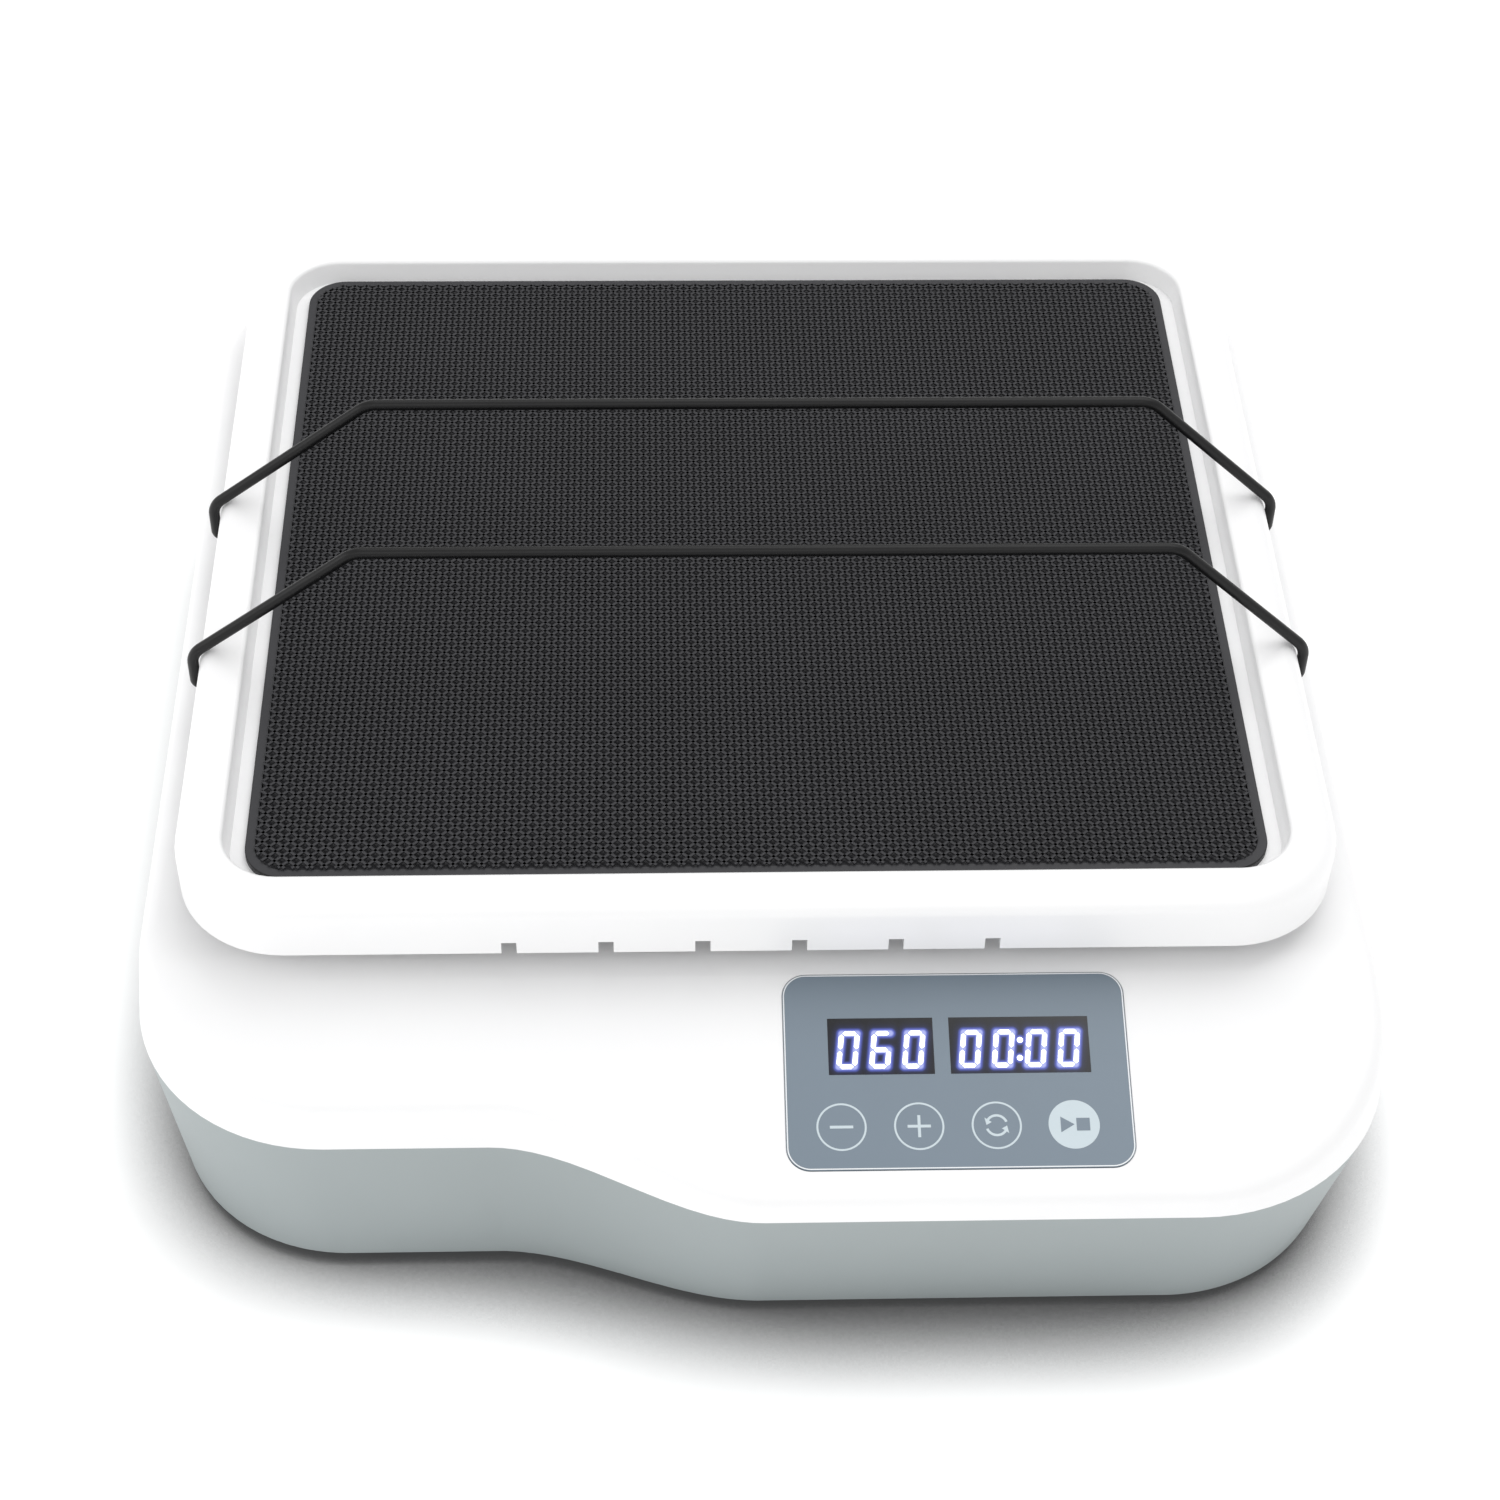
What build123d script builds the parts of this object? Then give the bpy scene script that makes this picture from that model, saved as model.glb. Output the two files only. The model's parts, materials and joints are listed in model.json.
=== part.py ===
from build123d import *
from math import atan, cos, degrees, radians, sin, tan
import os

os.makedirs("parts", exist_ok=True)

# An orbital shaker. X to the right, Y to the back, Z up, in millimetres.
# The origin is on the table, under the middle of the housing.

# Housing outline, at the line where the two halves meet
base_width = 328.0
base_depth = 359.6
front_step = 24.4          # the left half of the front stands this far back
step_start = -70.0         # the step's curve begins here, in X
step_end = 0.0
corner_back = 46.0
corner_left = 52.0
corner_right = 54.0

# Heights of the housing
tub_bottom = 5.0
lid_height = 26.5
deck_height = 81.5
slope_angle = 16.5         # the front of the deck falls at this angle
slope_run = 63.8           # how far from the front the fall begins
deck_round = 32.0
deck_edge_round = 5.0

# Lower housing walls. Each inset is how far the foot of a wall stands in from its top.
tub_wall = 2.5
tub_floor = 2.5
tub_inset_side = 7.0
tub_inset_back = 5.8
tub_inset_left = 1.9
tub_inset_right = 9.8
tub_corner_ease = 4.0
tub_edge_round = 2.0

# Upper housing walls
lid_wall = 3.4
lid_draft_inset = 3.3
deck_thickness = 3.0
lip_depth = 3.0
lip_wall = 1.4
lip_gap = 0.3

# Orbit and crank. At rest the eccentric pin stands behind the crank's axis.
orbit_radius = 5.0
crank_y = 15.0
running_gap = 0.05
seat_gap = 0.02
open_pivot_gap = 0.3

# Ball bearings: bore radius, outer radius, width
main_bore = 6.0
main_outer = 16.0
main_width = 10.0
pin_bore = 5.0
pin_outer = 15.0
pin_width = 9.0
idler_bore = 4.0
idler_outer = 11.0
idler_width = 7.0
shield_depth = 0.4
race_share = 0.28          # a race's wall, as a share of the ring

# Platform tray
tray_width = 301.0
tray_depth = 280.5
tray_corner = 29.0
tray_rise = 25.5           # from the deck to the tray's top
tray_height = 17.0
rim_round = 5.0
recess_width = 276.0
recess_depth = 256.0
recess_corner = 15.0
recess_draft = 1.5
recess_depth_down = 7.0
recess_edge_round = 1.5
tray_wall = 3.0
skirt_wall = 3.5
notch_height = 4.0
notch_shift = -2.5
front_notch_pitch = 24.7
side_notch_pitch = 30.5
notches_per_side = 6
rib_height = 5.0
rib_wall = 2.0
rib_pitch_x = 50.0
rib_pitch_y = 45.0
rib_rows = 5

# Rubber mat
mat_width = 265.0
mat_depth = 249.0
mat_corner = 11.0
mat_thickness = 2.0
mat_border = 2.6
mat_field_drop = 0.75
mat_rib_width = 0.6
mat_rib_run = 25.6         # the ribs cross in diamonds of this width
mat_rib_rise = 23.2        # and this depth

# Hold-down bars, each in the side notches of its row
bar_radius = 1.8
bar_rise = 36.8            # from the tray's top to the bars' top
bar_slope_left = 38.3      # how steeply each end comes down to the rim
bar_slope_right = 43.5
bar_bend = 8.0
bar_hook_bend = 2.0
bar_hook_reach = 7.7
bar_gap = 0.15
rear_bar_row = 0.5         # rows are counted in notch pitches from the tray's middle
front_bar_row = -1.5

# Drive chassis
chassis_drop = 21.5        # from the deck down to the chassis
chassis_thickness = 3.0
chassis_gap_side = 41.0     # from the housing's side to the chassis
chassis_gap_back = 39.8
chassis_corner = 12.0
chassis_flange = 9.0
chassis_flange_inset = 25.0
idler_edge_x = 23.0        # from the chassis edge to the idlers
idler_edge_y = 35.0
post_edge_x = 49.0         # from the chassis edge to the posts
post_edge_y = 13.0
motor_edge = 20.0          # from the chassis edge to the motor's axis
post_radius = 5.5

# Main bearing housing, hung under the chassis
housing_flange = 34.0
housing_flange_thickness = 5.0
housing_wall = 5.5
housing_foot_gap = 11.5    # from the floor to the bearing housing
housing_foot_lip = 3.0
bearing_shoulder = 2.0
housing_screw_circle = 28.0
flange_screw_count = 4
flange_screw_turn = 45.0

# Idler bearing housings, on the chassis
pot_wall = 3.5
pot_height = 12.5
pot_flange = 21.0
pot_flange_thickness = 3.0
pot_floor = 5.0
pot_screw_circle = 17.7
pot_screw_count = 3
pot_screw_turn = 90.0

# Pulleys and belt
driven_radius = 53.0
motor_pulley_radius = 12.5
pulley_width = 10.7
pulley_lift = 2.8          # above the chassis
pulley_rim_wall = 6.0
pulley_web = 3.0
pulley_hub = 13.0
belt_rib_pitch = 3.0
belt_rib_count = 3
belt_rib_depth = 1.3
belt_rib_root = 1.2        # half widths of a rib
belt_rib_tip = 0.3
belt_back = 1.4
belt_gap = 0.3
flange_reach = 3.0
flange_thickness = 1.0
web_hole_circle = 30.0
web_hole_radius = 7.0
weight_inner = 15.0
weight_outer = 45.5
weight_thickness = 7.0
weight_screw_circle = 33.0
web_count = 6              # three under the weight for its screws, three open holes
web_used_count = 3
weight_screw_turn = 210.0
web_hole_turn = 30.0
magnet_radius = 2.5
magnet_depth = 2.0
sensor_width = 10.0
sensor_depth = 8.0
sensor_corner = 1.0

# Crank shaft and arms
shaft_upper = 7.5
shaft_collar = 8.6
arm_radius = 19.0
arm_thickness = 5.5
arm_above_deck = 0.5
arm_bore_depth = 2.7
pin_chamfer = 0.8
pin_root = 1.0             # how deep a pin is rooted in its arm
clip_radius = 9.0
clip_thickness = 1.0
idler_arm_radius = 12.0
idler_arm_thickness = 5.0
idler_collar = 5.6

# Seals in the deck openings
seal_gap = 2.5             # from an arm to the edge of its opening
seal_run = 0.4
seal_lip = 2.0
seal_thickness = 1.2

# Platform hub and the bearing bosses under the tray
hub_wall = 4.5
hub_flange = 31.0
hub_flange_thickness = 4.0
hub_lip = 11.0
hub_lip_height = 2.0
hub_screw_circle = 25.5
tray_boss_wall = 4.0
tray_boss_height = 10.5
pin_relief = 8.0
pin_relief_depth = 1.7

# Motor
motor_radius = 29.0
motor_floor_gap = 16.5
motor_shaft_radius = 4.0
motor_boss = 11.0
motor_boss_height = 2.5
motor_can_edge = 2.0
motor_screw_circle = 20.0
motor_end_gap = 6.0        # from the shaft's end to the motor's end

# Panel on the slope
panel_x = 49.5
panel_down = 31.2          # from the slope's start to the panel's middle
panel_width = 88.0
panel_height = 53.0
panel_corner = 6.0
panel_sink = 0.5
panel_film = 0.8
panel_fit = 0.2
window_row = 6.6
window_height = 14.4
speed_window_x = -19.2
speed_window_width = 26.0
time_window_x = 16.3
time_window_width = 34.8
key_row = -15.1
key_start = -30.0
key_pitch = 19.6
key_count = 4
touch_pad_radius = 5.0
display_thickness = 6.0
display_gap = 0.3
display_board_width = 84.0
display_board_height = 46.0
display_screw_inset = 3.0

# Boards
board_thickness = 1.6
control_board_depth = 70.0
control_board_gap = 8.5    # from a post to the board's edge
control_board_back = 32.8  # from the housing's back to the board
control_board_height = 14.0
board_screw_inset = 5.0
transformer_width = 24.0
transformer_depth = 20.0
transformer_height = 13.0
capacitor_radius = 5.0
capacitor_pitch = 13.0
capacitor_height = 16.0
capacitor_count = 3
fin_width = 26.0
fin_thickness = 1.5
fin_pitch = 5.0
fin_height = 14.0
fin_count = 5
connector_depth = 7.0
connector_height = 8.0
connector_count = 3
board_parts_row = 11.0     # the rows of parts stand this far from the board's middle
connector_share = 0.1      # a connector's width, as a share of the board's
connector_pitch_share = 0.15
transformer_share = 0.58   # of the way from the board's middle to its screws

# Rear sockets
socket_height = 25.0
inlet_x = 20.0
inlet_barrel = 4.8
inlet_flange = 7.0
inlet_flange_thickness = 1.4
inlet_depth = 12.0
inlet_bore = 3.2
inlet_bore_depth = 9.0
inlet_pin = 1.05
switch_x = -16.0
switch_width = 13.0
switch_height = 19.0
switch_depth = 11.0
switch_bezel = 1.2         # thickness outside the wall, and reach around the cut-out
rocker_width = 9.0
rocker_height = 14.6
rocker_rise = 1.2
rocker_dip = 0.8
rocker_depth = 4.0
rocker_sink = 2.0          # the hinge pin's depth behind the wall's face
rocker_taper = 1.0
rocker_pocket_depth = 5.4
rocker_tilt = 7.0
rocker_side_gap = 0.15
rocker_end_gap = 0.5
rocker_pin = 1.2
rocker_pin_reach = 0.8

# Feet, screws and bosses
foot_inset_side = 42.0
foot_inset_back = 41.8
foot_inset_front = 57.8
foot_radius = 11.0
foot_chamfer = 1.2
foot_screw_seat = 2.6
foot_boss_radius = 6.0
foot_boss_height = 10.0
screw_radius = 1.5
screw_head = 2.9
screw_head_height = 2.2
screw_tip_gap = 0.5
counterbore_gap = 0.3
boss_radius = 4.5
boss_inset_side = 16.0
boss_inset_back = 84.8
boss_inset_front = 114.8
boss_inset_rear = 14.8
boss_rear_x = 60.0
boss_screw_drop = 5.0      # from the parting line to the screw's seat
boss_screw_length = 14.0
vent_count = 7
vent_pitch = 8.0
vent_width = 3.0
vent_length = 34.0

# Derived heights and places
half_width = base_width / 2
base_back = base_depth / 2
front_right = -base_depth / 2
front_left = front_right + front_step
slope_break = front_right + slope_run
parting_height = deck_height - lid_height
tray_top = deck_height + tray_rise
skirt_bottom = tray_top - tray_height
recess_floor = tray_top - recess_depth_down
bar_top = tray_top + bar_rise
chassis_bottom = deck_height - chassis_drop
boss_screw_seat = parting_height - boss_screw_drop
chassis_reach_x = half_width - chassis_gap_side
chassis_reach_y = base_back - chassis_gap_back - crank_y
idler_reach_x = chassis_reach_x - idler_edge_x
idler_reach_y = chassis_reach_y - idler_edge_y
post_reach_x = chassis_reach_x - post_edge_x
post_reach_y = chassis_reach_y - post_edge_y
motor_y = crank_y - chassis_reach_y + motor_edge
floor_top = tub_bottom + tub_floor
housing_length = chassis_bottom - floor_top - housing_foot_gap
motor_length = chassis_bottom - floor_top - motor_floor_gap
motor_shaft_depth = motor_length - motor_end_gap
deck_underside = deck_height - deck_thickness
slope_thickness = deck_thickness * cos(radians(slope_angle))
chassis_top = chassis_bottom + chassis_thickness
pulley_bottom = chassis_top + pulley_lift
pulley_top = pulley_bottom + pulley_width
arm_top = deck_height + arm_above_deck
arm_bottom = arm_top - arm_thickness
idler_arm_bottom = arm_top - idler_arm_thickness
tray_underside = recess_floor - tray_wall
tray_y = crank_y + orbit_radius
crank_centre = (0, crank_y)
motor_centre = (0, motor_y)
pin_centre = (0, tray_y)
main_hole = main_outer * (1 - race_share) + race_share * main_bore
sides = (-1, 1)
idler_places = [(sx * idler_reach_x, crank_y + sy * idler_reach_y) for sy in sides for sx in sides]
idler_names = ["front_left", "front_right", "rear_left", "rear_right"]
tray_idler_places = [(x, y + orbit_radius) for x, y in idler_places]
post_places = [(sx * post_reach_x, crank_y + sy * post_reach_y) for sy in sides for sx in sides]
foot_reach_x = half_width - foot_inset_side
foot_rows = (base_back - foot_inset_back, front_right + foot_inset_front)
foot_places = [(sx * foot_reach_x, y) for y in foot_rows for sx in sides]
boss_reach_x = half_width - boss_inset_side
boss_rows = (base_back - boss_inset_back, front_right + boss_inset_front)
side_boss_places = [(sx * boss_reach_x, y) for y in boss_rows for sx in sides]
boss_places = side_boss_places + [(sx * boss_rear_x, base_back - boss_inset_rear) for sx in sides]
control_board_width = 2 * (post_reach_x - post_radius - control_board_gap)
control_board_y = base_back - control_board_back - control_board_depth / 2
board_reach_x = control_board_width / 2 - board_screw_inset
board_reach_y = control_board_depth / 2 - board_screw_inset
board_places = [(sx * board_reach_x, control_board_y + sy * board_reach_y) for sy in sides for sx in sides]
hole_radius = screw_radius + seat_gap
counterbore_radius = screw_head + counterbore_gap
bottom_bearing_low = chassis_bottom - housing_length + housing_foot_lip
top_bearing_low = chassis_bottom - main_width
idler_bearing_low = chassis_top + pot_floor
tray_boss_bottom = tray_underside - tray_boss_height
hub_bottom = tray_underside - hub_lip_height - pin_width
hub_flange_bottom = tray_underside - hub_flange_thickness

# The sloped panel's plane, and the plane of the drafted rear wall
slope_rad = radians(slope_angle)
panel_y = slope_break - panel_down * cos(slope_rad)
panel_z = deck_height - panel_down * sin(slope_rad)
panel_out = (0, -sin(slope_rad), cos(slope_rad))
panel_plane = Plane(origin=(panel_x, panel_y, panel_z), x_dir=(1, 0, 0), z_dir=panel_out)
tub_height = parting_height - tub_bottom
rear_rad = atan(tub_inset_back / tub_height)
rear_y = base_back - (parting_height - socket_height) * tan(rear_rad)
rear_out = (0, cos(rear_rad), -sin(rear_rad))
rear_plane = Plane(origin=(0, rear_y, socket_height), x_dir=(1, 0, 0), z_dir=rear_out)


def base_outline(side, back, left, right, ease):
    # The housing's outline, drawn in from its widest by an inset on each side
    x_out = half_width - side
    y_back = base_back - back
    y_left = front_left + left
    y_right = front_right + right
    r_back = corner_back - ease
    r_left = corner_left - ease
    r_right = corner_right - ease
    third = (step_end - step_start) / 3
    bend_left = (step_start + third, y_left)
    bend_right = (step_end - third, y_right)
    with BuildLine() as outline:
        Line((-x_out + r_left, y_left), (step_start, y_left))
        Bezier((step_start, y_left), bend_left, bend_right, (step_end, y_right))
        Line((step_end, y_right), (x_out - r_right, y_right))
        CenterArc((x_out - r_right, y_right + r_right), r_right, 270, 90)
        Line((x_out, y_right + r_right), (x_out, y_back - r_back))
        CenterArc((x_out - r_back, y_back - r_back), r_back, 0, 90)
        Line((x_out - r_back, y_back), (-x_out + r_back, y_back))
        CenterArc((-x_out + r_back, y_back - r_back), r_back, 90, 90)
        Line((-x_out, y_back - r_back), (-x_out, y_left + r_left))
        CenterArc((-x_out + r_left, y_left + r_left), r_left, 180, 90)
    return outline.edges()


def tub_outline(inset, height):
    # The outline of the tub's drafted wall at a height, drawn in by an inset
    share = (parting_height - height) / tub_height
    return base_outline(
        tub_inset_side * share + inset,
        tub_inset_back * share + inset,
        tub_inset_left * share + inset,
        tub_inset_right * share + inset,
        tub_corner_ease * share + inset,
    )


def lid_outline(inset, height):
    # The outline of the lid's drafted wall at a height, drawn in by an inset
    drawn = inset + lid_draft_inset * (height - parting_height) / (deck_height - parting_height)
    return base_outline(drawn, drawn, drawn, drawn, drawn)


def lid_block(inset, drop):
    # The lid as a solid block: drafted walls under the deck's profile
    reach = deck_height + deck_edge_round
    with BuildSketch(Plane.XY.offset(parting_height)) as foot:
        make_face(lid_outline(inset, parting_height))
    with BuildSketch(Plane.XY.offset(reach)) as head:
        make_face(lid_outline(inset, reach))
    loft([foot.sketch, head.sketch], ruled=True)
    top = deck_height - drop
    nose_y = front_right - deck_round / 2
    nose_z = top - (slope_break - nose_y) * tan(slope_rad)
    with BuildSketch(Plane.YZ) as side:
        with BuildLine():
            break_point = (slope_break, top)
            crown = FilletPolyline((base_depth, top), break_point, (nose_y, nose_z), radius=deck_round - drop)
            Polyline(crown @ 1, (nose_y, 0), (base_depth, 0), crown @ 0)
        make_face()
    extrude(side.sketch, amount=base_width, both=True, mode=Mode.INTERSECT)


def tube(outer, inner, low, high, places):
    # Upright tubes, one at each place
    with BuildSketch(Plane.XY.offset(low)) as rings:
        with Locations(*places):
            Circle(outer)
            Circle(inner, mode=Mode.SUBTRACT)
    extrude(rings.sketch, amount=high - low)


def rod(radius, low, high, places, mode=Mode.ADD):
    # Upright rods, one at each place
    with BuildSketch(Plane.XY.offset(low)) as discs:
        with Locations(*places):
            Circle(radius)
    extrude(discs.sketch, amount=high - low, mode=mode)


def turned(points, place):
    # A solid turned about the upright line through a place, from points of radius and height
    x, y = place
    with BuildSketch(Plane(origin=(x, y, 0), x_dir=(1, 0, 0), z_dir=(0, -1, 0))) as half:
        with BuildLine():
            Polyline(*points, close=True)
        make_face()
    revolve(half.sketch, axis=Axis((x, y, 0), (0, 0, 1)))


def ball_bearing(bore, outer, width, low, place):
    # Two races with sunk shields between them
    race = (outer - bore) * race_share
    high = low + width
    low_shield = low + shield_depth
    high_shield = high - shield_depth
    turned(
        [
            (bore, low), (bore + race, low), (bore + race, low_shield), (outer - race, low_shield),
            (outer - race, low), (outer, low), (outer, high), (outer - race, high),
            (outer - race, high_shield), (bore + race, high_shield), (bore + race, high), (bore, high),
        ],
        place,
    )


def screws(places, seat, length, head_up=True):
    # Cap screws, from the seat of the head
    way = 1 if head_up else -1
    rod(screw_head, seat, seat + way * screw_head_height, places)
    rod(screw_radius, seat, seat - way * length, places)


def circle_places(centre, radius, count, start):
    step = radians(360 / count)
    turn = radians(start)
    x, y = centre
    return [(x + radius * cos(turn + k * step), y + radius * sin(turn + k * step)) for k in range(count)]


def rib_profile(radius):
    # The edge of a ribbed rim, upwards: grooves of a pulley, or ribs of a belt
    middle = pulley_bottom + pulley_width / 2
    points = []
    for k in range(belt_rib_count):
        z = middle + (k - (belt_rib_count - 1) / 2) * belt_rib_pitch
        points += [(radius, z - belt_rib_root), (radius - belt_rib_depth, z - belt_rib_tip)]
        points += [(radius - belt_rib_depth, z + belt_rib_tip), (radius, z + belt_rib_root)]
    return points


def keep(piece, name):
    piece.part.label = name
    export_step(piece.part, f"parts/{name}.step")


# Lower housing: a drafted tub with posts, bosses, vents and the rear cut-outs
with BuildPart() as tub_cavity:
    with BuildSketch(Plane.XY.offset(floor_top)):
        make_face(tub_outline(tub_wall, floor_top))
    with BuildSketch(Plane.XY.offset(parting_height)):
        make_face(tub_outline(tub_wall, parting_height))
    loft(ruled=True)

switch_place = (switch_x, 0)
inlet_place = (inlet_x, 0)
with BuildPart() as lower_housing:
    with BuildSketch(Plane.XY.offset(tub_bottom)):
        make_face(tub_outline(0, tub_bottom))
    with BuildSketch(Plane.XY.offset(parting_height)):
        make_face(tub_outline(0, parting_height))
    loft(ruled=True)
    fillet(faces().sort_by(Axis.Z)[0].edges(), tub_edge_round)
    add(tub_cavity.part, mode=Mode.SUBTRACT)
    floor_middle = tub_bottom + tub_floor / 2
    rod(post_radius, floor_middle, chassis_bottom, post_places)
    rod(boss_radius, floor_middle, parting_height, boss_places)
    rod(foot_boss_radius, floor_middle, floor_top + foot_boss_height, foot_places)
    rod(boss_radius, floor_middle, control_board_height, board_places)
    rod(hole_radius, chassis_bottom - boss_screw_length, chassis_bottom, post_places, Mode.SUBTRACT)
    rod(hole_radius, boss_screw_seat, parting_height, boss_places, Mode.SUBTRACT)
    rod(counterbore_radius, tub_bottom, boss_screw_seat, boss_places, Mode.SUBTRACT)
    rod(hole_radius, tub_bottom, floor_top + foot_boss_height - tub_wall, foot_places, Mode.SUBTRACT)
    rod(hole_radius, floor_top, control_board_height, board_places, Mode.SUBTRACT)
    with BuildSketch(Plane.XY.offset(tub_bottom)):
        with Locations(motor_centre):
            with GridLocations(vent_pitch, 1, vent_count, 1):
                SlotOverall(vent_length, vent_width, rotation=90)
    extrude(amount=tub_floor, mode=Mode.SUBTRACT)
    with BuildSketch(rear_plane.offset(-2 * tub_wall)):
        with Locations(switch_place):
            Rectangle(switch_width + 2 * seat_gap, switch_height + 2 * seat_gap)
        with Locations(inlet_place):
            Circle(inlet_barrel + seat_gap)
    extrude(amount=4 * tub_wall, mode=Mode.SUBTRACT)
keep(lower_housing, "lower_housing")

# Upper housing: the deck with its sloped front, a lip inside the tub, openings and bosses
with BuildPart() as lid_cavity:
    lid_block(lid_wall, deck_thickness)

with BuildPart() as lid_lip:
    with BuildSketch(Plane.XY.offset(parting_height - lip_depth)):
        make_face(tub_outline(tub_wall + lip_gap, parting_height - lip_depth))
    with BuildSketch(Plane.XY.offset(parting_height)):
        make_face(tub_outline(tub_wall + lip_gap, parting_height))
    loft(ruled=True)
    with BuildSketch(Plane.XY.offset(parting_height)):
        make_face(tub_outline(tub_wall + lip_gap, parting_height))
    extrude(amount=lip_depth)
    with BuildSketch(Plane.XY.offset(parting_height - lip_depth)):
        make_face(tub_outline(tub_wall + lip_gap + lip_wall, parting_height - lip_depth))
    extrude(amount=2 * lip_depth, mode=Mode.SUBTRACT)

display_board_drop = panel_sink + seat_gap + display_thickness
display_reach_x = display_board_width / 2 - display_screw_inset
display_reach_y = display_board_height / 2 - display_screw_inset
with BuildPart() as upper_housing:
    lid_block(0, 0)
    crown_faces = faces().filter_by(lambda face: face.normal_at().Z > 0.5)
    across_break = crown_faces.edges().filter_by(
        lambda edge: abs(edge.center().Y - slope_break) < deck_round and abs(edge.center().X) < half_width / 2
    )
    fillet(crown_faces.edges() - across_break, deck_edge_round)
    add(lid_cavity.part, mode=Mode.SUBTRACT)
    add(lid_lip.part)
    rod(boss_radius, parting_height, deck_underside + deck_thickness / 2, boss_places)
    rod(hole_radius, parting_height, boss_screw_seat + boss_screw_length, boss_places, Mode.SUBTRACT)
    rod(arm_radius + seal_gap, deck_underside, deck_height, [crank_centre], Mode.SUBTRACT)
    rod(idler_arm_radius + seal_gap, deck_underside, deck_height, idler_places, Mode.SUBTRACT)
    with BuildSketch(panel_plane.offset(-panel_sink)):
        RectangleRounded(panel_width + 2 * panel_fit, panel_height + 2 * panel_fit, panel_corner + panel_fit)
    extrude(amount=deck_thickness, mode=Mode.SUBTRACT)
    with BuildSketch(panel_plane.offset(-panel_sink)):
        with Locations((speed_window_x, window_row)):
            Rectangle(speed_window_width, window_height)
        with Locations((time_window_x, window_row)):
            Rectangle(time_window_width, window_height)
    extrude(amount=-deck_thickness, mode=Mode.SUBTRACT)
    with BuildSketch(panel_plane.offset(-display_board_drop)):
        with GridLocations(2 * display_reach_x, 2 * display_reach_y, 2, 2):
            Circle(display_screw_inset)
    extrude(amount=display_board_drop - slope_thickness / 2)
    with BuildSketch(panel_plane.offset(-display_board_drop)):
        with GridLocations(2 * display_reach_x, 2 * display_reach_y, 2, 2):
            Circle(hole_radius)
    extrude(amount=display_board_drop - slope_thickness, mode=Mode.SUBTRACT)
keep(upper_housing, "upper_housing")

with BuildPart() as deck_seals:
    for place in [crank_centre] + idler_places:
        arm = arm_radius if place == crank_centre else idler_arm_radius
        edge = arm + seal_gap
        run = arm + seal_run
        turned(
            [
                (run, deck_underside - seal_thickness), (edge + seal_lip, deck_underside - seal_thickness),
                (edge + seal_lip, deck_underside), (edge - seat_gap, deck_underside),
                (edge - seat_gap, deck_height), (edge + seal_lip, deck_height),
                (edge + seal_lip, deck_height + seal_thickness), (run, deck_height + seal_thickness),
            ],
            place,
        )
keep(deck_seals, "deck_seals")

# Feet and the screws that close the housing
with BuildPart() as rubber_feet:
    rod(foot_radius, 0, tub_bottom, foot_places)
    chamfer(faces().group_by(Axis.Z)[0].edges(), foot_chamfer)
    rod(counterbore_radius, 0, foot_screw_seat, foot_places, Mode.SUBTRACT)
    rod(hole_radius, foot_screw_seat, tub_bottom, foot_places, Mode.SUBTRACT)
keep(rubber_feet, "rubber_feet")

with BuildPart() as foot_screws:
    foot_screw_length = floor_top + foot_boss_height - tub_wall - screw_tip_gap - foot_screw_seat
    screws(foot_places, foot_screw_seat, foot_screw_length, head_up=False)
keep(foot_screws, "foot_screws")

with BuildPart() as housing_screws:
    screws(boss_places, boss_screw_seat, boss_screw_length - screw_tip_gap, head_up=False)
keep(housing_screws, "housing_screws")

# Drive chassis: a pressed plate with folded sides
pot_screw_places = [
    spot for place in idler_places
    for spot in circle_places(place, pot_screw_circle, pot_screw_count, pot_screw_turn)
]
housing_screw_places = circle_places(
    crank_centre, housing_screw_circle, flange_screw_count, flange_screw_turn
)
motor_screw_places = circle_places(
    motor_centre, motor_screw_circle, flange_screw_count, flange_screw_turn
)
with BuildPart() as drive_chassis:
    with BuildSketch(Plane.XY.offset(chassis_bottom)):
        with Locations(crank_centre):
            RectangleRounded(2 * chassis_reach_x, 2 * chassis_reach_y, chassis_corner)
            Circle(main_hole, mode=Mode.SUBTRACT)
        with Locations(motor_centre):
            Circle(motor_boss + counterbore_gap, mode=Mode.SUBTRACT)
        with Locations(*post_places, *pot_screw_places, *housing_screw_places, *motor_screw_places):
            Circle(hole_radius, mode=Mode.SUBTRACT)
    extrude(amount=chassis_thickness)
    with BuildSketch(Plane.XY.offset(chassis_bottom - chassis_flange)):
        with Locations(crank_centre):
            with GridLocations(2 * chassis_reach_x - chassis_thickness, 1, 2, 1):
                Rectangle(chassis_thickness, 2 * (chassis_reach_y - chassis_flange_inset))
    extrude(amount=chassis_flange)
keep(drive_chassis, "drive_chassis")

with BuildPart() as chassis_screws:
    screws(post_places, chassis_top, boss_screw_length)
keep(chassis_screws, "chassis_screws")

# Main bearing housing and its two bearings
housing_foot = chassis_bottom - housing_length
bearing_seat = main_outer + seat_gap
with BuildPart() as main_bearing_housing:
    flange_low = chassis_bottom - housing_flange_thickness
    tube_outer = main_outer + housing_wall
    shoulder = main_outer - bearing_shoulder
    turned(
        [
            (main_hole, housing_foot), (tube_outer, housing_foot), (tube_outer, flange_low),
            (housing_flange, flange_low), (housing_flange, chassis_bottom), (bearing_seat, chassis_bottom),
            (bearing_seat, top_bearing_low), (shoulder, top_bearing_low),
            (shoulder, bottom_bearing_low + main_width), (bearing_seat, bottom_bearing_low + main_width),
            (bearing_seat, bottom_bearing_low), (main_hole, bottom_bearing_low),
        ],
        crank_centre,
    )
    rod(hole_radius, flange_low, chassis_bottom, housing_screw_places, Mode.SUBTRACT)
keep(main_bearing_housing, "main_bearing_housing")

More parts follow.
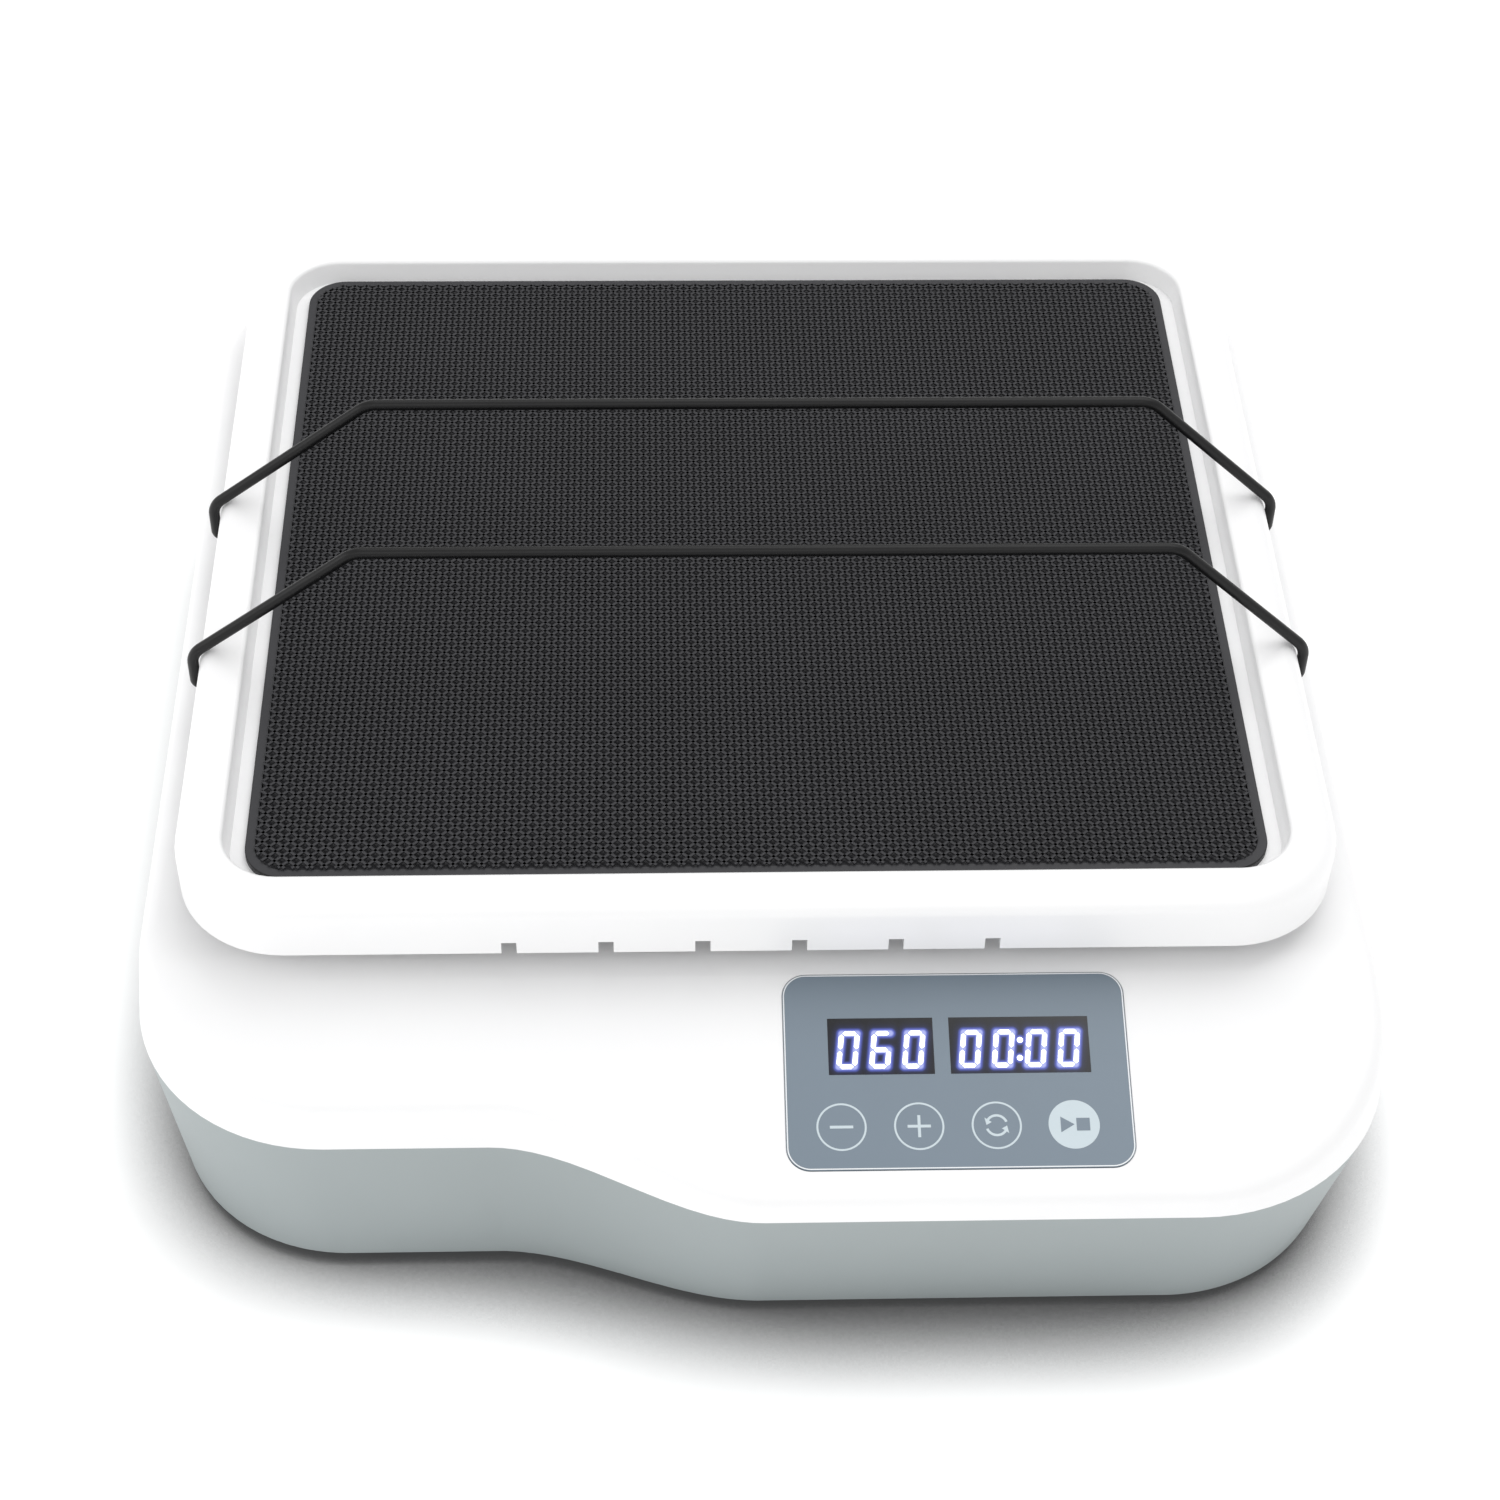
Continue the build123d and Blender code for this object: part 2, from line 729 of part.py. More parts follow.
with BuildPart() as main_bearing_housing_screws:
    screws(housing_screw_places, chassis_top, chassis_thickness + housing_flange_thickness)
keep(main_bearing_housing_screws, "main_bearing_housing_screws")

with BuildPart() as main_bearing_lower:
    ball_bearing(main_bore, main_outer, main_width, bottom_bearing_low, crank_centre)
keep(main_bearing_lower, "main_bearing_lower")

with BuildPart() as main_bearing_upper:
    ball_bearing(main_bore, main_outer, main_width, top_bearing_low, crank_centre)
keep(main_bearing_upper, "main_bearing_upper")

# Crank: shaft, eccentric arm, clip, driven pulley and counterweight
with BuildPart() as crank_shaft:
    journal = main_bore - running_gap
    turned(
        [
            (0, housing_foot), (journal, housing_foot), (journal, chassis_bottom + running_gap),
            (shaft_collar, chassis_bottom + running_gap), (shaft_collar, pulley_bottom),
            (shaft_upper, pulley_bottom), (shaft_upper, arm_bottom + arm_bore_depth - screw_tip_gap),
            (0, arm_bottom + arm_bore_depth - screw_tip_gap),
        ],
        crank_centre,
    )
keep(crank_shaft, "crank_shaft")

with BuildPart() as crank_arm:
    bore = shaft_upper + seat_gap
    turned(
        [
            (bore, arm_bottom), (arm_radius, arm_bottom), (arm_radius, arm_top), (0, arm_top),
            (0, arm_bottom + arm_bore_depth), (bore, arm_bottom + arm_bore_depth),
        ],
        crank_centre,
    )
    rod(pin_bore - running_gap, arm_top - pin_root, tray_underside - hub_lip_height + screw_tip_gap, [pin_centre])
    chamfer(faces().sort_by(Axis.Z)[-1].edges(), pin_chamfer)
keep(crank_arm, "crank_arm")

with BuildPart() as retaining_clip:
    tube(clip_radius, main_bore - running_gap + seat_gap, bottom_bearing_low - clip_thickness - running_gap,
         bottom_bearing_low - running_gap, [crank_centre])
keep(retaining_clip, "retaining_clip")

weight_bottom = pulley_bottom + pulley_web
weight_top = weight_bottom + weight_thickness
weight_screw_seat = weight_top - screw_head_height - counterbore_gap
weight_screw_ring = circle_places(crank_centre, weight_screw_circle, web_count, weight_screw_turn)
weight_screw_places = weight_screw_ring[:web_used_count]
web_hole_places = circle_places(crank_centre, web_hole_circle, web_count, web_hole_turn)[:web_used_count]
magnet_place = (weight_screw_circle + web_hole_radius, crank_y)
with BuildPart() as driven_pulley:
    rim_inner = driven_radius - pulley_rim_wall
    web_top = pulley_bottom + pulley_web
    turned(
        [(shaft_upper + seat_gap, pulley_bottom), (driven_radius, pulley_bottom)]
        + rib_profile(driven_radius)
        + [
            (driven_radius, pulley_top), (rim_inner, pulley_top), (rim_inner, web_top), (pulley_hub, web_top),
            (pulley_hub, arm_bottom), (shaft_upper + seat_gap, arm_bottom),
        ],
        crank_centre,
    )
    rod(web_hole_radius, pulley_bottom, web_top, web_hole_places, Mode.SUBTRACT)
    rod(hole_radius, pulley_bottom, web_top, weight_screw_places, Mode.SUBTRACT)
    rod(magnet_radius + seat_gap, pulley_bottom, pulley_bottom + magnet_depth, [magnet_place], Mode.SUBTRACT)
keep(driven_pulley, "driven_pulley")

with BuildPart() as counterweight:
    with BuildSketch(Plane.XY.offset(weight_bottom)):
        with Locations(crank_centre):
            Circle(weight_outer)
            Circle(weight_inner, mode=Mode.SUBTRACT)
            Rectangle(2 * weight_outer, weight_outer, align=(Align.CENTER, Align.MIN), mode=Mode.SUBTRACT)
    extrude(amount=weight_thickness)
    rod(hole_radius, weight_bottom, weight_top, weight_screw_places, Mode.SUBTRACT)
    rod(counterbore_radius, weight_screw_seat, weight_top, weight_screw_places, Mode.SUBTRACT)
keep(counterweight, "counterweight")

with BuildPart() as counterweight_screws:
    screws(weight_screw_places, weight_screw_seat, weight_screw_seat - pulley_bottom - screw_tip_gap)
keep(counterweight_screws, "counterweight_screws")

with BuildPart() as speed_magnet:
    rod(magnet_radius, pulley_bottom, pulley_bottom + magnet_depth, [magnet_place])
keep(speed_magnet, "speed_magnet")

with BuildPart() as speed_sensor:
    with BuildSketch(Plane.XY.offset(chassis_top)):
        with Locations(magnet_place):
            RectangleRounded(sensor_width, sensor_depth, sensor_corner)
    extrude(amount=pulley_lift - screw_tip_gap)
keep(speed_sensor, "speed_sensor")

# Idlers: bearing pots on the chassis, and four small cranks that keep the platform from turning
pot_seat = idler_outer + seat_gap
with BuildPart() as idler_bearing_housings:
    for place in idler_places:
        turned(
            [
                (idler_outer - bearing_shoulder, chassis_top), (pot_flange, chassis_top),
                (pot_flange, chassis_top + pot_flange_thickness),
                (idler_outer + pot_wall, chassis_top + pot_flange_thickness),
                (idler_outer + pot_wall, chassis_top + pot_height), (pot_seat, chassis_top + pot_height),
                (pot_seat, idler_bearing_low), (idler_outer - bearing_shoulder, idler_bearing_low),
            ],
            place,
        )
    rod(hole_radius, chassis_top, chassis_top + pot_flange_thickness, pot_screw_places, Mode.SUBTRACT)
keep(idler_bearing_housings, "idler_bearing_housings")

with BuildPart() as idler_housing_screws:
    screws(pot_screw_places, chassis_top + pot_flange_thickness, pot_flange_thickness + chassis_thickness)
keep(idler_housing_screws, "idler_housing_screws")

with BuildPart() as idler_bearings:
    for place in idler_places:
        ball_bearing(idler_bore, idler_outer, idler_width, idler_bearing_low, place)
keep(idler_bearings, "idler_bearings")

idler_journal = idler_bore - running_gap
idler_shoulder = idler_bearing_low + idler_width + running_gap
for place, name in zip(idler_places, idler_names):
    with BuildPart() as idler_crank:
        turned(
            [
                (0, chassis_top + screw_tip_gap), (idler_journal, chassis_top + screw_tip_gap),
                (idler_journal, idler_shoulder), (idler_collar, idler_shoulder), (idler_collar, idler_arm_bottom),
                (idler_arm_radius, idler_arm_bottom), (idler_arm_radius, arm_top), (0, arm_top),
            ],
            place,
        )
        pin_top = tray_boss_bottom + idler_width + pin_relief_depth / 2
        rod(idler_bore - open_pivot_gap, arm_top - pin_root, pin_top, [(place[0], place[1] + orbit_radius)])
        chamfer(faces().sort_by(Axis.Z)[-1].edges(), pin_chamfer)
    keep(idler_crank, f"idler_crank_{name}")

# Motor, its pulley and the ribbed belt
motor_bottom = chassis_bottom - motor_length
with BuildPart() as motor_body:
    can_foot = motor_radius - motor_can_edge
    turned(
        [
            (0, motor_bottom), (can_foot, motor_bottom), (motor_radius, motor_bottom + motor_can_edge),
            (motor_radius, chassis_bottom), (motor_boss, chassis_bottom),
            (motor_boss, chassis_bottom + motor_boss_height),
            (motor_shaft_radius + running_gap, chassis_bottom + motor_boss_height),
            (motor_shaft_radius + running_gap, chassis_bottom - motor_shaft_depth),
            (0, chassis_bottom - motor_shaft_depth),
        ],
        motor_centre,
    )
    rod(hole_radius, chassis_bottom - pot_floor, chassis_bottom, motor_screw_places, Mode.SUBTRACT)
keep(motor_body, "motor_body")

with BuildPart() as motor_screws:
    screws(motor_screw_places, chassis_top, chassis_thickness + pot_floor - screw_tip_gap)
keep(motor_screws, "motor_screws")

with BuildPart() as motor_shaft:
    rod(motor_shaft_radius, chassis_bottom - motor_shaft_depth + screw_tip_gap, pulley_top, [motor_centre])
keep(motor_shaft, "motor_shaft")

with BuildPart() as motor_pulley:
    flange_radius = motor_pulley_radius + flange_reach
    bore = motor_shaft_radius + seat_gap
    turned(
        [
            (bore, pulley_bottom - flange_thickness), (flange_radius, pulley_bottom - flange_thickness),
            (flange_radius, pulley_bottom), (motor_pulley_radius, pulley_bottom),
        ]
        + rib_profile(motor_pulley_radius)
        + [
            (motor_pulley_radius, pulley_top), (flange_radius, pulley_top),
            (flange_radius, pulley_top + flange_thickness), (bore, pulley_top + flange_thickness),
        ],
        motor_centre,
    )
keep(motor_pulley, "motor_pulley")

with BuildPart() as drive_belt:
    run_driven = driven_radius + belt_gap
    run_motor = motor_pulley_radius + belt_gap
    centre_distance = crank_y - motor_y
    lean = (run_driven - run_motor) / centre_distance
    wrap = degrees(atan(lean / (1 - lean ** 2) ** 0.5))
    with BuildLine() as belt_path:
        big = CenterArc(crank_centre, run_driven, -wrap, 180 + 2 * wrap)
        small = CenterArc(motor_centre, run_motor, 180 + wrap, 180 - 2 * wrap)
        Line(big @ 1, small @ 0)
        Line(small @ 1, big @ 0)
    start_turn = radians(-wrap)
    belt_start = big @ 0
    outward = (cos(start_turn), sin(start_turn), 0)
    with BuildSketch(Plane(origin=(belt_start.X, belt_start.Y, 0), x_dir=outward,
                           z_dir=(sin(start_turn), -cos(start_turn), 0))):
        with BuildLine():
            half_belt = belt_rib_count * belt_rib_pitch / 2
            middle = pulley_bottom + pulley_width / 2
            Polyline((belt_back, middle - half_belt), (0, middle - half_belt), *rib_profile(0),
                     (0, middle + half_belt), (belt_back, middle + half_belt), close=True)
        make_face()
    sweep(path=belt_path.wires()[0])
keep(drive_belt, "drive_belt")

# Platform tray: a sunk floor inside a raised rim, a notched skirt, ribs and bearing bosses
tray_inner_width = recess_width + 2 * tray_wall
tray_inner_depth = recess_depth + 2 * tray_wall
skirt_inner_width = tray_width - 2 * skirt_wall
skirt_inner_depth = tray_depth - 2 * skirt_wall
skirt_inner_corner = tray_corner - skirt_wall
notch_width = 2 * (bar_radius + bar_gap)
side_notch_height = bar_radius + bar_gap + notch_height
with BuildPart() as tray_recess:
    with BuildSketch(Plane.XY.offset(recess_floor)):
        with Locations(pin_centre):
            RectangleRounded(recess_width - 2 * recess_draft, recess_depth - 2 * recess_draft,
                             recess_corner - recess_draft)
    with BuildSketch(Plane.XY.offset(tray_top)):
        with Locations(pin_centre):
            RectangleRounded(recess_width, recess_depth, recess_corner)
    loft(ruled=True)

with BuildPart() as platform_tray:
    with BuildSketch(Plane.XY.offset(skirt_bottom)):
        with Locations(pin_centre):
            RectangleRounded(tray_width, tray_depth, tray_corner)
    extrude(amount=tray_top - skirt_bottom)
    fillet(faces().sort_by(Axis.Z)[-1].edges(), rim_round)
    add(tray_recess.part, mode=Mode.SUBTRACT)
    fillet(faces().sort_by(Axis.Z)[-1].inner_wires()[0].edges(), recess_edge_round)
    with BuildSketch(Plane.XY.offset(skirt_bottom)):
        with Locations(pin_centre):
            RectangleRounded(skirt_inner_width, skirt_inner_depth, skirt_inner_corner)
    extrude(amount=tray_underside - skirt_bottom, mode=Mode.SUBTRACT)
    with BuildSketch(Plane.XY.offset(tray_underside)):
        with Locations(pin_centre):
            RectangleRounded(skirt_inner_width, skirt_inner_depth, skirt_inner_corner)
            RectangleRounded(tray_inner_width, tray_inner_depth, recess_corner + tray_wall, mode=Mode.SUBTRACT)
    extrude(amount=tray_top - tray_wall - tray_underside, mode=Mode.SUBTRACT)
    with BuildSketch(Plane.XY.offset(tray_underside - rib_height)):
        with Locations(pin_centre):
            with GridLocations(rib_pitch_x, 1, rib_rows, 1):
                Rectangle(rib_wall, recess_depth)
            with GridLocations(1, rib_pitch_y, 1, rib_rows):
                Rectangle(recess_width, rib_wall)
            Circle(hub_flange + open_pivot_gap, mode=Mode.SUBTRACT)
    extrude(amount=rib_height + tray_wall / 2)
    rod(idler_outer + tray_boss_wall, tray_boss_bottom, recess_floor - tray_wall / 2, tray_idler_places)
    rod(idler_outer + seat_gap, tray_boss_bottom, tray_boss_bottom + idler_width, tray_idler_places, Mode.SUBTRACT)
    rod(pin_relief, tray_boss_bottom, tray_boss_bottom + idler_width + pin_relief_depth, tray_idler_places,
        Mode.SUBTRACT)
    hub_screw_places = circle_places(pin_centre, hub_screw_circle, flange_screw_count, flange_screw_turn)
    rod(hole_radius, tray_underside, recess_floor - tray_wall / 4, hub_screw_places, Mode.SUBTRACT)
    with BuildSketch(Plane.XY.offset(skirt_bottom)):
        with Locations((notch_shift, tray_y)):
            with GridLocations(front_notch_pitch, tray_depth - skirt_wall, notches_per_side, 2):
                Rectangle(notch_width, 2 * skirt_wall)
    extrude(amount=notch_height, mode=Mode.SUBTRACT)
    with BuildSketch(Plane.XY.offset(skirt_bottom)):
        with Locations(pin_centre):
            with GridLocations(tray_width - skirt_wall, side_notch_pitch, 2, notches_per_side):
                Rectangle(2 * skirt_wall, notch_width)
    extrude(amount=side_notch_height, mode=Mode.SUBTRACT)
keep(platform_tray, "platform_tray")

field_width = mat_width - 2 * mat_border
field_depth = mat_depth - 2 * mat_border
mat_rib_turn = degrees(atan(mat_rib_rise / mat_rib_run))
mat_rib_reach = (field_depth + field_width * mat_rib_rise / mat_rib_run) / 2
mat_rib_rows = int(mat_rib_reach / mat_rib_rise)
mat_rib_places = [(0, tray_y + k * mat_rib_rise) for k in range(-mat_rib_rows, mat_rib_rows + 1)]
with BuildPart() as rubber_mat:
    with BuildSketch(Plane.XY.offset(recess_floor)):
        with Locations(pin_centre):
            RectangleRounded(mat_width, mat_depth, mat_corner)
    extrude(amount=mat_thickness)
    with BuildSketch(Plane.XY.offset(recess_floor + mat_thickness - mat_field_drop)):
        with Locations(pin_centre):
            RectangleRounded(field_width, field_depth, mat_corner - mat_border)
    extrude(amount=mat_field_drop, mode=Mode.SUBTRACT)
    with BuildSketch(Plane.XY.offset(recess_floor + mat_thickness - mat_field_drop)):
        with Locations(*mat_rib_places):
            for way in sides:
                Rectangle(2 * field_width, mat_rib_width, rotation=way * mat_rib_turn)
        with Locations(pin_centre):
            RectangleRounded(field_width, field_depth, mat_corner - mat_border, mode=Mode.INTERSECT)
    extrude(amount=mat_field_drop)
keep(rubber_mat, "rubber_mat")

# Hold-down bars: bent wire over the mat, wrapped round the rim and hooked through a notch
bar_over_rim = rim_round + bar_radius + bar_gap
bar_side = tray_width / 2 + bar_radius + bar_gap
bar_high = bar_top - bar_radius
hook_low = skirt_bottom + side_notch_height - bar_gap - bar_radius


def bar_corners(slope, way):
    # From the hook's tip up to the bend at the top, on one side
    angle = radians(slope)
    wrap_x = tray_width / 2 - rim_round + bar_over_rim * sin(angle)
    wrap_z = tray_top - rim_round + bar_over_rim * cos(angle)
    meet_z = wrap_z - (bar_side - wrap_x) * tan(angle)
    top_x = wrap_x - (bar_high - wrap_z) / tan(angle)
    tip_x = bar_side - bar_hook_reach
    return [(way * tip_x, hook_low), (way * bar_side, hook_low), (way * bar_side, meet_z), (way * top_x, bar_high)]


def hold_down_bar(row):
    y = tray_y + row * side_notch_pitch
    plane = Plane(origin=(0, y, 0), x_dir=(1, 0, 0), z_dir=(0, -1, 0))
    corners = bar_corners(bar_slope_left, -1) + bar_corners(bar_slope_right, 1)[::-1]
    bends = [bar_hook_bend, bar_over_rim, bar_bend, bar_bend, bar_over_rim, bar_hook_bend]
    with BuildPart() as bar:
        with BuildLine(plane) as wire:
            FilletPolyline(*corners, radius=bends)
        with BuildSketch(Plane(origin=wire.line @ 0, z_dir=wire.line % 0)):
            Circle(bar_radius)
        sweep(path=wire.wires()[0])
    return bar


keep(hold_down_bar(rear_bar_row), "hold_down_bar_rear")
keep(hold_down_bar(front_bar_row), "hold_down_bar_front")

# Platform hub and the bearings under the tray
with BuildPart() as platform_hub:
    hub_seat = pin_outer + seat_gap
    turned(
        [
            (hub_seat, hub_bottom), (pin_outer + hub_wall, hub_bottom), (pin_outer + hub_wall, hub_flange_bottom),
            (hub_flange, hub_flange_bottom), (hub_flange, tray_underside), (hub_lip, tray_underside),
            (hub_lip, tray_underside - hub_lip_height), (hub_seat, tray_underside - hub_lip_height),
        ],
        pin_centre,
    )
    rod(hole_radius, hub_flange_bottom, tray_underside, hub_screw_places, Mode.SUBTRACT)
keep(platform_hub, "platform_hub")

with BuildPart() as hub_screws:
    screws(hub_screw_places, hub_flange_bottom, hub_flange_thickness + tray_wall / 2, head_up=False)
keep(hub_screws, "hub_screws")

with BuildPart() as platform_bearing:
    ball_bearing(pin_bore, pin_outer, pin_width, hub_bottom, pin_centre)
keep(platform_bearing, "platform_bearing")

with BuildPart() as platform_idler_bearings:
    for place in tray_idler_places:
        ball_bearing(idler_bore, idler_outer, idler_width, tray_boss_bottom, place)
keep(platform_idler_bearings, "platform_idler_bearings")

# Panel film, displays, touch pads and the board behind them
with BuildPart() as panel_overlay:
    with BuildSketch(panel_plane.offset(-panel_sink)):
        RectangleRounded(panel_width, panel_height, panel_corner)
    extrude(amount=panel_film)
keep(panel_overlay, "panel_overlay")

display_top = panel_plane.offset(-panel_sink - seat_gap)
with BuildPart() as speed_display:
    with BuildSketch(display_top):
        with Locations((speed_window_x, window_row)):
            Rectangle(speed_window_width - 2 * display_gap, window_height - 2 * display_gap)
    extrude(amount=-display_thickness)
keep(speed_display, "speed_display")

with BuildPart() as time_display:
    with BuildSketch(display_top):
        with Locations((time_window_x, window_row)):
            Rectangle(time_window_width - 2 * display_gap, window_height - 2 * display_gap)
    extrude(amount=-display_thickness)
keep(time_display, "time_display")

with BuildPart() as touch_sensors:
    with BuildSketch(panel_plane.offset(-display_board_drop)):
        with Locations((key_start + key_pitch * (key_count - 1) / 2, key_row)):
            with GridLocations(key_pitch, 1, key_count, 1):
                Circle(touch_pad_radius)
    extrude(amount=display_board_drop - slope_thickness)
keep(touch_sensors, "touch_sensors")

with BuildPart() as display_board:
    with BuildSketch(panel_plane.offset(-display_board_drop)):
        Rectangle(display_board_width, display_board_height)
        with GridLocations(2 * display_reach_x, 2 * display_reach_y, 2, 2):
            Circle(hole_radius, mode=Mode.SUBTRACT)
    extrude(amount=-board_thickness)
keep(display_board, "display_board")

with BuildPart() as display_board_screws:
    with BuildSketch(panel_plane.offset(-display_board_drop - board_thickness)):
        with GridLocations(2 * display_reach_x, 2 * display_reach_y, 2, 2):
            Circle(screw_head)
    extrude(amount=-screw_head_height)
    with BuildSketch(panel_plane.offset(-display_board_drop - board_thickness)):
        with GridLocations(2 * display_reach_x, 2 * display_reach_y, 2, 2):
            Circle(screw_radius)
    extrude(amount=board_thickness + display_board_drop - slope_thickness - screw_tip_gap)
keep(display_board_screws, "display_board_screws")

# Control board with its larger parts
with BuildPart() as control_board:
    with BuildSketch(Plane.XY.offset(control_board_height)):
        with Locations((0, control_board_y)):
            RectangleRounded(control_board_width, control_board_depth, board_screw_inset / 2)
        with Locations(*board_places):
            Circle(hole_radius, mode=Mode.SUBTRACT)
    extrude(amount=board_thickness)
    parts_plane = Plane.XY.offset(control_board_height + board_thickness)
    with BuildSketch(parts_plane):
        with Locations((-transformer_share * board_reach_x, control_board_y + board_parts_row)):
            Rectangle(transformer_width, transformer_depth)
    extrude(amount=transformer_height)
    with BuildSketch(parts_plane):
        with Locations((0, control_board_y + board_parts_row)):
            with GridLocations(capacitor_pitch, 1, capacitor_count, 1):
                Circle(capacitor_radius)
    extrude(amount=capacitor_height)
    with BuildSketch(parts_plane):
        with Locations((transformer_share * board_reach_x, control_board_y - board_parts_row)):
            with GridLocations(1, fin_pitch, 1, fin_count):
                Rectangle(fin_width, fin_thickness)
    extrude(amount=fin_height)
    with BuildSketch(parts_plane):
        with Locations((-transformer_share * board_reach_x / 2, control_board_y - board_reach_y)):
            with GridLocations(connector_pitch_share * control_board_width, 1, connector_count, 1):
                Rectangle(connector_share * control_board_width, connector_depth)
    extrude(amount=connector_height)
keep(control_board, "control_board")

with BuildPart() as control_board_screws:
    screws(board_places, control_board_height + board_thickness,
           control_board_height + board_thickness - floor_top - screw_tip_gap)
keep(control_board_screws, "control_board_screws")

# Rear: power inlet, switch frame and rocker
with BuildPart() as power_inlet:
    with BuildSketch(rear_plane):
        with Locations(inlet_place):
            Circle(inlet_flange)
    extrude(amount=inlet_flange_thickness)
    with BuildSketch(rear_plane):
        with Locations(inlet_place):
            Circle(inlet_barrel)
    extrude(amount=-inlet_depth)
    with BuildSketch(rear_plane.offset(inlet_flange_thickness)):
        with Locations(inlet_place):
            Circle(inlet_bore)
            Circle(inlet_pin, mode=Mode.SUBTRACT)
    extrude(amount=-inlet_bore_depth, mode=Mode.SUBTRACT)
keep(power_inlet, "power_inlet")

hinge_point = rear_plane.from_local_coords((switch_x, 0, -rocker_sink))
pin_half = rocker_width / 2 + rocker_pin_reach
with BuildPart() as switch_frame:
    with BuildSketch(rear_plane):
        with Locations(switch_place):
            RectangleRounded(switch_width + 2 * switch_bezel, switch_height + 2 * switch_bezel, switch_bezel)
    extrude(amount=switch_bezel)
    with BuildSketch(rear_plane):
        with Locations(switch_place):
            Rectangle(switch_width, switch_height)
    extrude(amount=-switch_depth)
    with BuildSketch(rear_plane.offset(switch_bezel)):
        with Locations(switch_place):
            Rectangle(rocker_width + 2 * rocker_side_gap, rocker_height + 2 * rocker_end_gap)
    extrude(amount=-switch_bezel - rocker_pocket_depth, mode=Mode.SUBTRACT)
    with BuildSketch(Plane.YZ.offset(switch_x)):
        with Locations((hinge_point.Y, hinge_point.Z)):
            Circle(rocker_pin + running_gap)
    extrude(amount=pin_half + rocker_side_gap, both=True, mode=Mode.SUBTRACT)
keep(switch_frame, "switch_frame")

lean_rad = rear_rad + radians(rocker_tilt)
lean_up = (0, sin(lean_rad), cos(lean_rad))
with BuildPart() as power_rocker:
    with BuildSketch(Plane(origin=hinge_point, x_dir=lean_up, z_dir=(-1, 0, 0))):
        with BuildLine():
            reach = rocker_height / 2
            crest = rocker_sink + rocker_rise
            Polyline(
                (-reach, crest), (0, crest - rocker_dip), (reach, crest),
                (reach - rocker_taper, rocker_sink - rocker_depth),
                (rocker_taper - reach, rocker_sink - rocker_depth), close=True,
            )
        make_face()
    extrude(amount=rocker_width / 2, both=True)
    with BuildSketch(Plane.YZ.offset(switch_x)):
        with Locations((hinge_point.Y, hinge_point.Z)):
            Circle(rocker_pin)
    extrude(amount=pin_half, both=True)
keep(power_rocker, "power_rocker")
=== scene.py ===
import bpy
import bmesh
import json
import math
from mathutils import Matrix, Vector

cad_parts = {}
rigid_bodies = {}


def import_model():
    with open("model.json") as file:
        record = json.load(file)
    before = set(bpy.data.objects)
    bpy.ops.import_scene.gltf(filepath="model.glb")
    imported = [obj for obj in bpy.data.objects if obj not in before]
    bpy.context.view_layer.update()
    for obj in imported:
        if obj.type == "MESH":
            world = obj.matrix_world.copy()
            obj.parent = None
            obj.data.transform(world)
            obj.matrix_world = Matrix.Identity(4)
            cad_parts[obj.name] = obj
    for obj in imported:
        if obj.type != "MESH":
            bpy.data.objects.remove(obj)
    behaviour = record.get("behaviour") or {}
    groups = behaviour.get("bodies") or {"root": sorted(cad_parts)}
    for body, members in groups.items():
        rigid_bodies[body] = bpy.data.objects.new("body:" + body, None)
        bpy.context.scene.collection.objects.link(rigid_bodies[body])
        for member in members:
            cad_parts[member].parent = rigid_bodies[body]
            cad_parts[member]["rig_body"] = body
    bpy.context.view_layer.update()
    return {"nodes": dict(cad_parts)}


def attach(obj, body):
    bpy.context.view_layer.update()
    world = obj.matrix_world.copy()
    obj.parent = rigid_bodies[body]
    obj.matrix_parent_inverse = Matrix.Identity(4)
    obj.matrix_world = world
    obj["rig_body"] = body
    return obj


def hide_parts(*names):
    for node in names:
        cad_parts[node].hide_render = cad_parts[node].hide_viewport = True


# An orbital shaker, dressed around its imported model. Sizes are in millimetres unless a note says so.
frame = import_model()
nodes = frame["nodes"]
scene = bpy.context.scene
scene.view_settings.view_transform = "Standard"
mm = 0.001
print("frame loaded:", len(nodes), "nodes")


# Small tools

def linear(hexColour):
    # An sRGB hex value as linear red, green, blue and alpha
    channels = [int(hexColour[i:i + 2], 16) / 255 for i in (1, 3, 5)]
    return [c / 12.92 if c <= 0.04045 else ((c + 0.055) / 1.055) ** 2.4 for c in channels] + [1]


def addNode(tree, kind, settings=None, inputs=None):
    node = tree.nodes.new(kind)
    for name, value in (settings or {}).items():
        setattr(node, name, value)
    for name, value in (inputs or {}).items():
        if isinstance(value, bpy.types.NodeSocket):
            tree.links.new(value, node.inputs[name])
        else:
            node.inputs[name].default_value = value
    return node


def dress(mesh, material):
    mesh.materials.clear()
    mesh.materials.append(material)


def meshPiece(name, points, faces, material):
    # A mesh object from points in millimetres
    mesh = bpy.data.meshes.new(name)
    mesh.from_pydata([Vector(p) * mm for p in points], [], faces)
    mesh.update()
    piece = bpy.data.objects.new(name, mesh)
    scene.collection.objects.link(piece)
    dress(mesh, material)
    return piece


def roundedRectangle(width, depth, radius, centre, steps=12):
    # Points around a rounded rectangle, anticlockwise
    points = []
    for quarter, (sx, sy) in enumerate([(1, 1), (-1, 1), (-1, -1), (1, -1)]):
        cx = centre[0] + sx * (width / 2 - radius)
        cy = centre[1] + sy * (depth / 2 - radius)
        for k in range(steps + 1):
            turn = math.radians(90 * quarter + 90 * k / steps)
            points.append((cx + radius * math.cos(turn), cy + radius * math.sin(turn)))
    return points


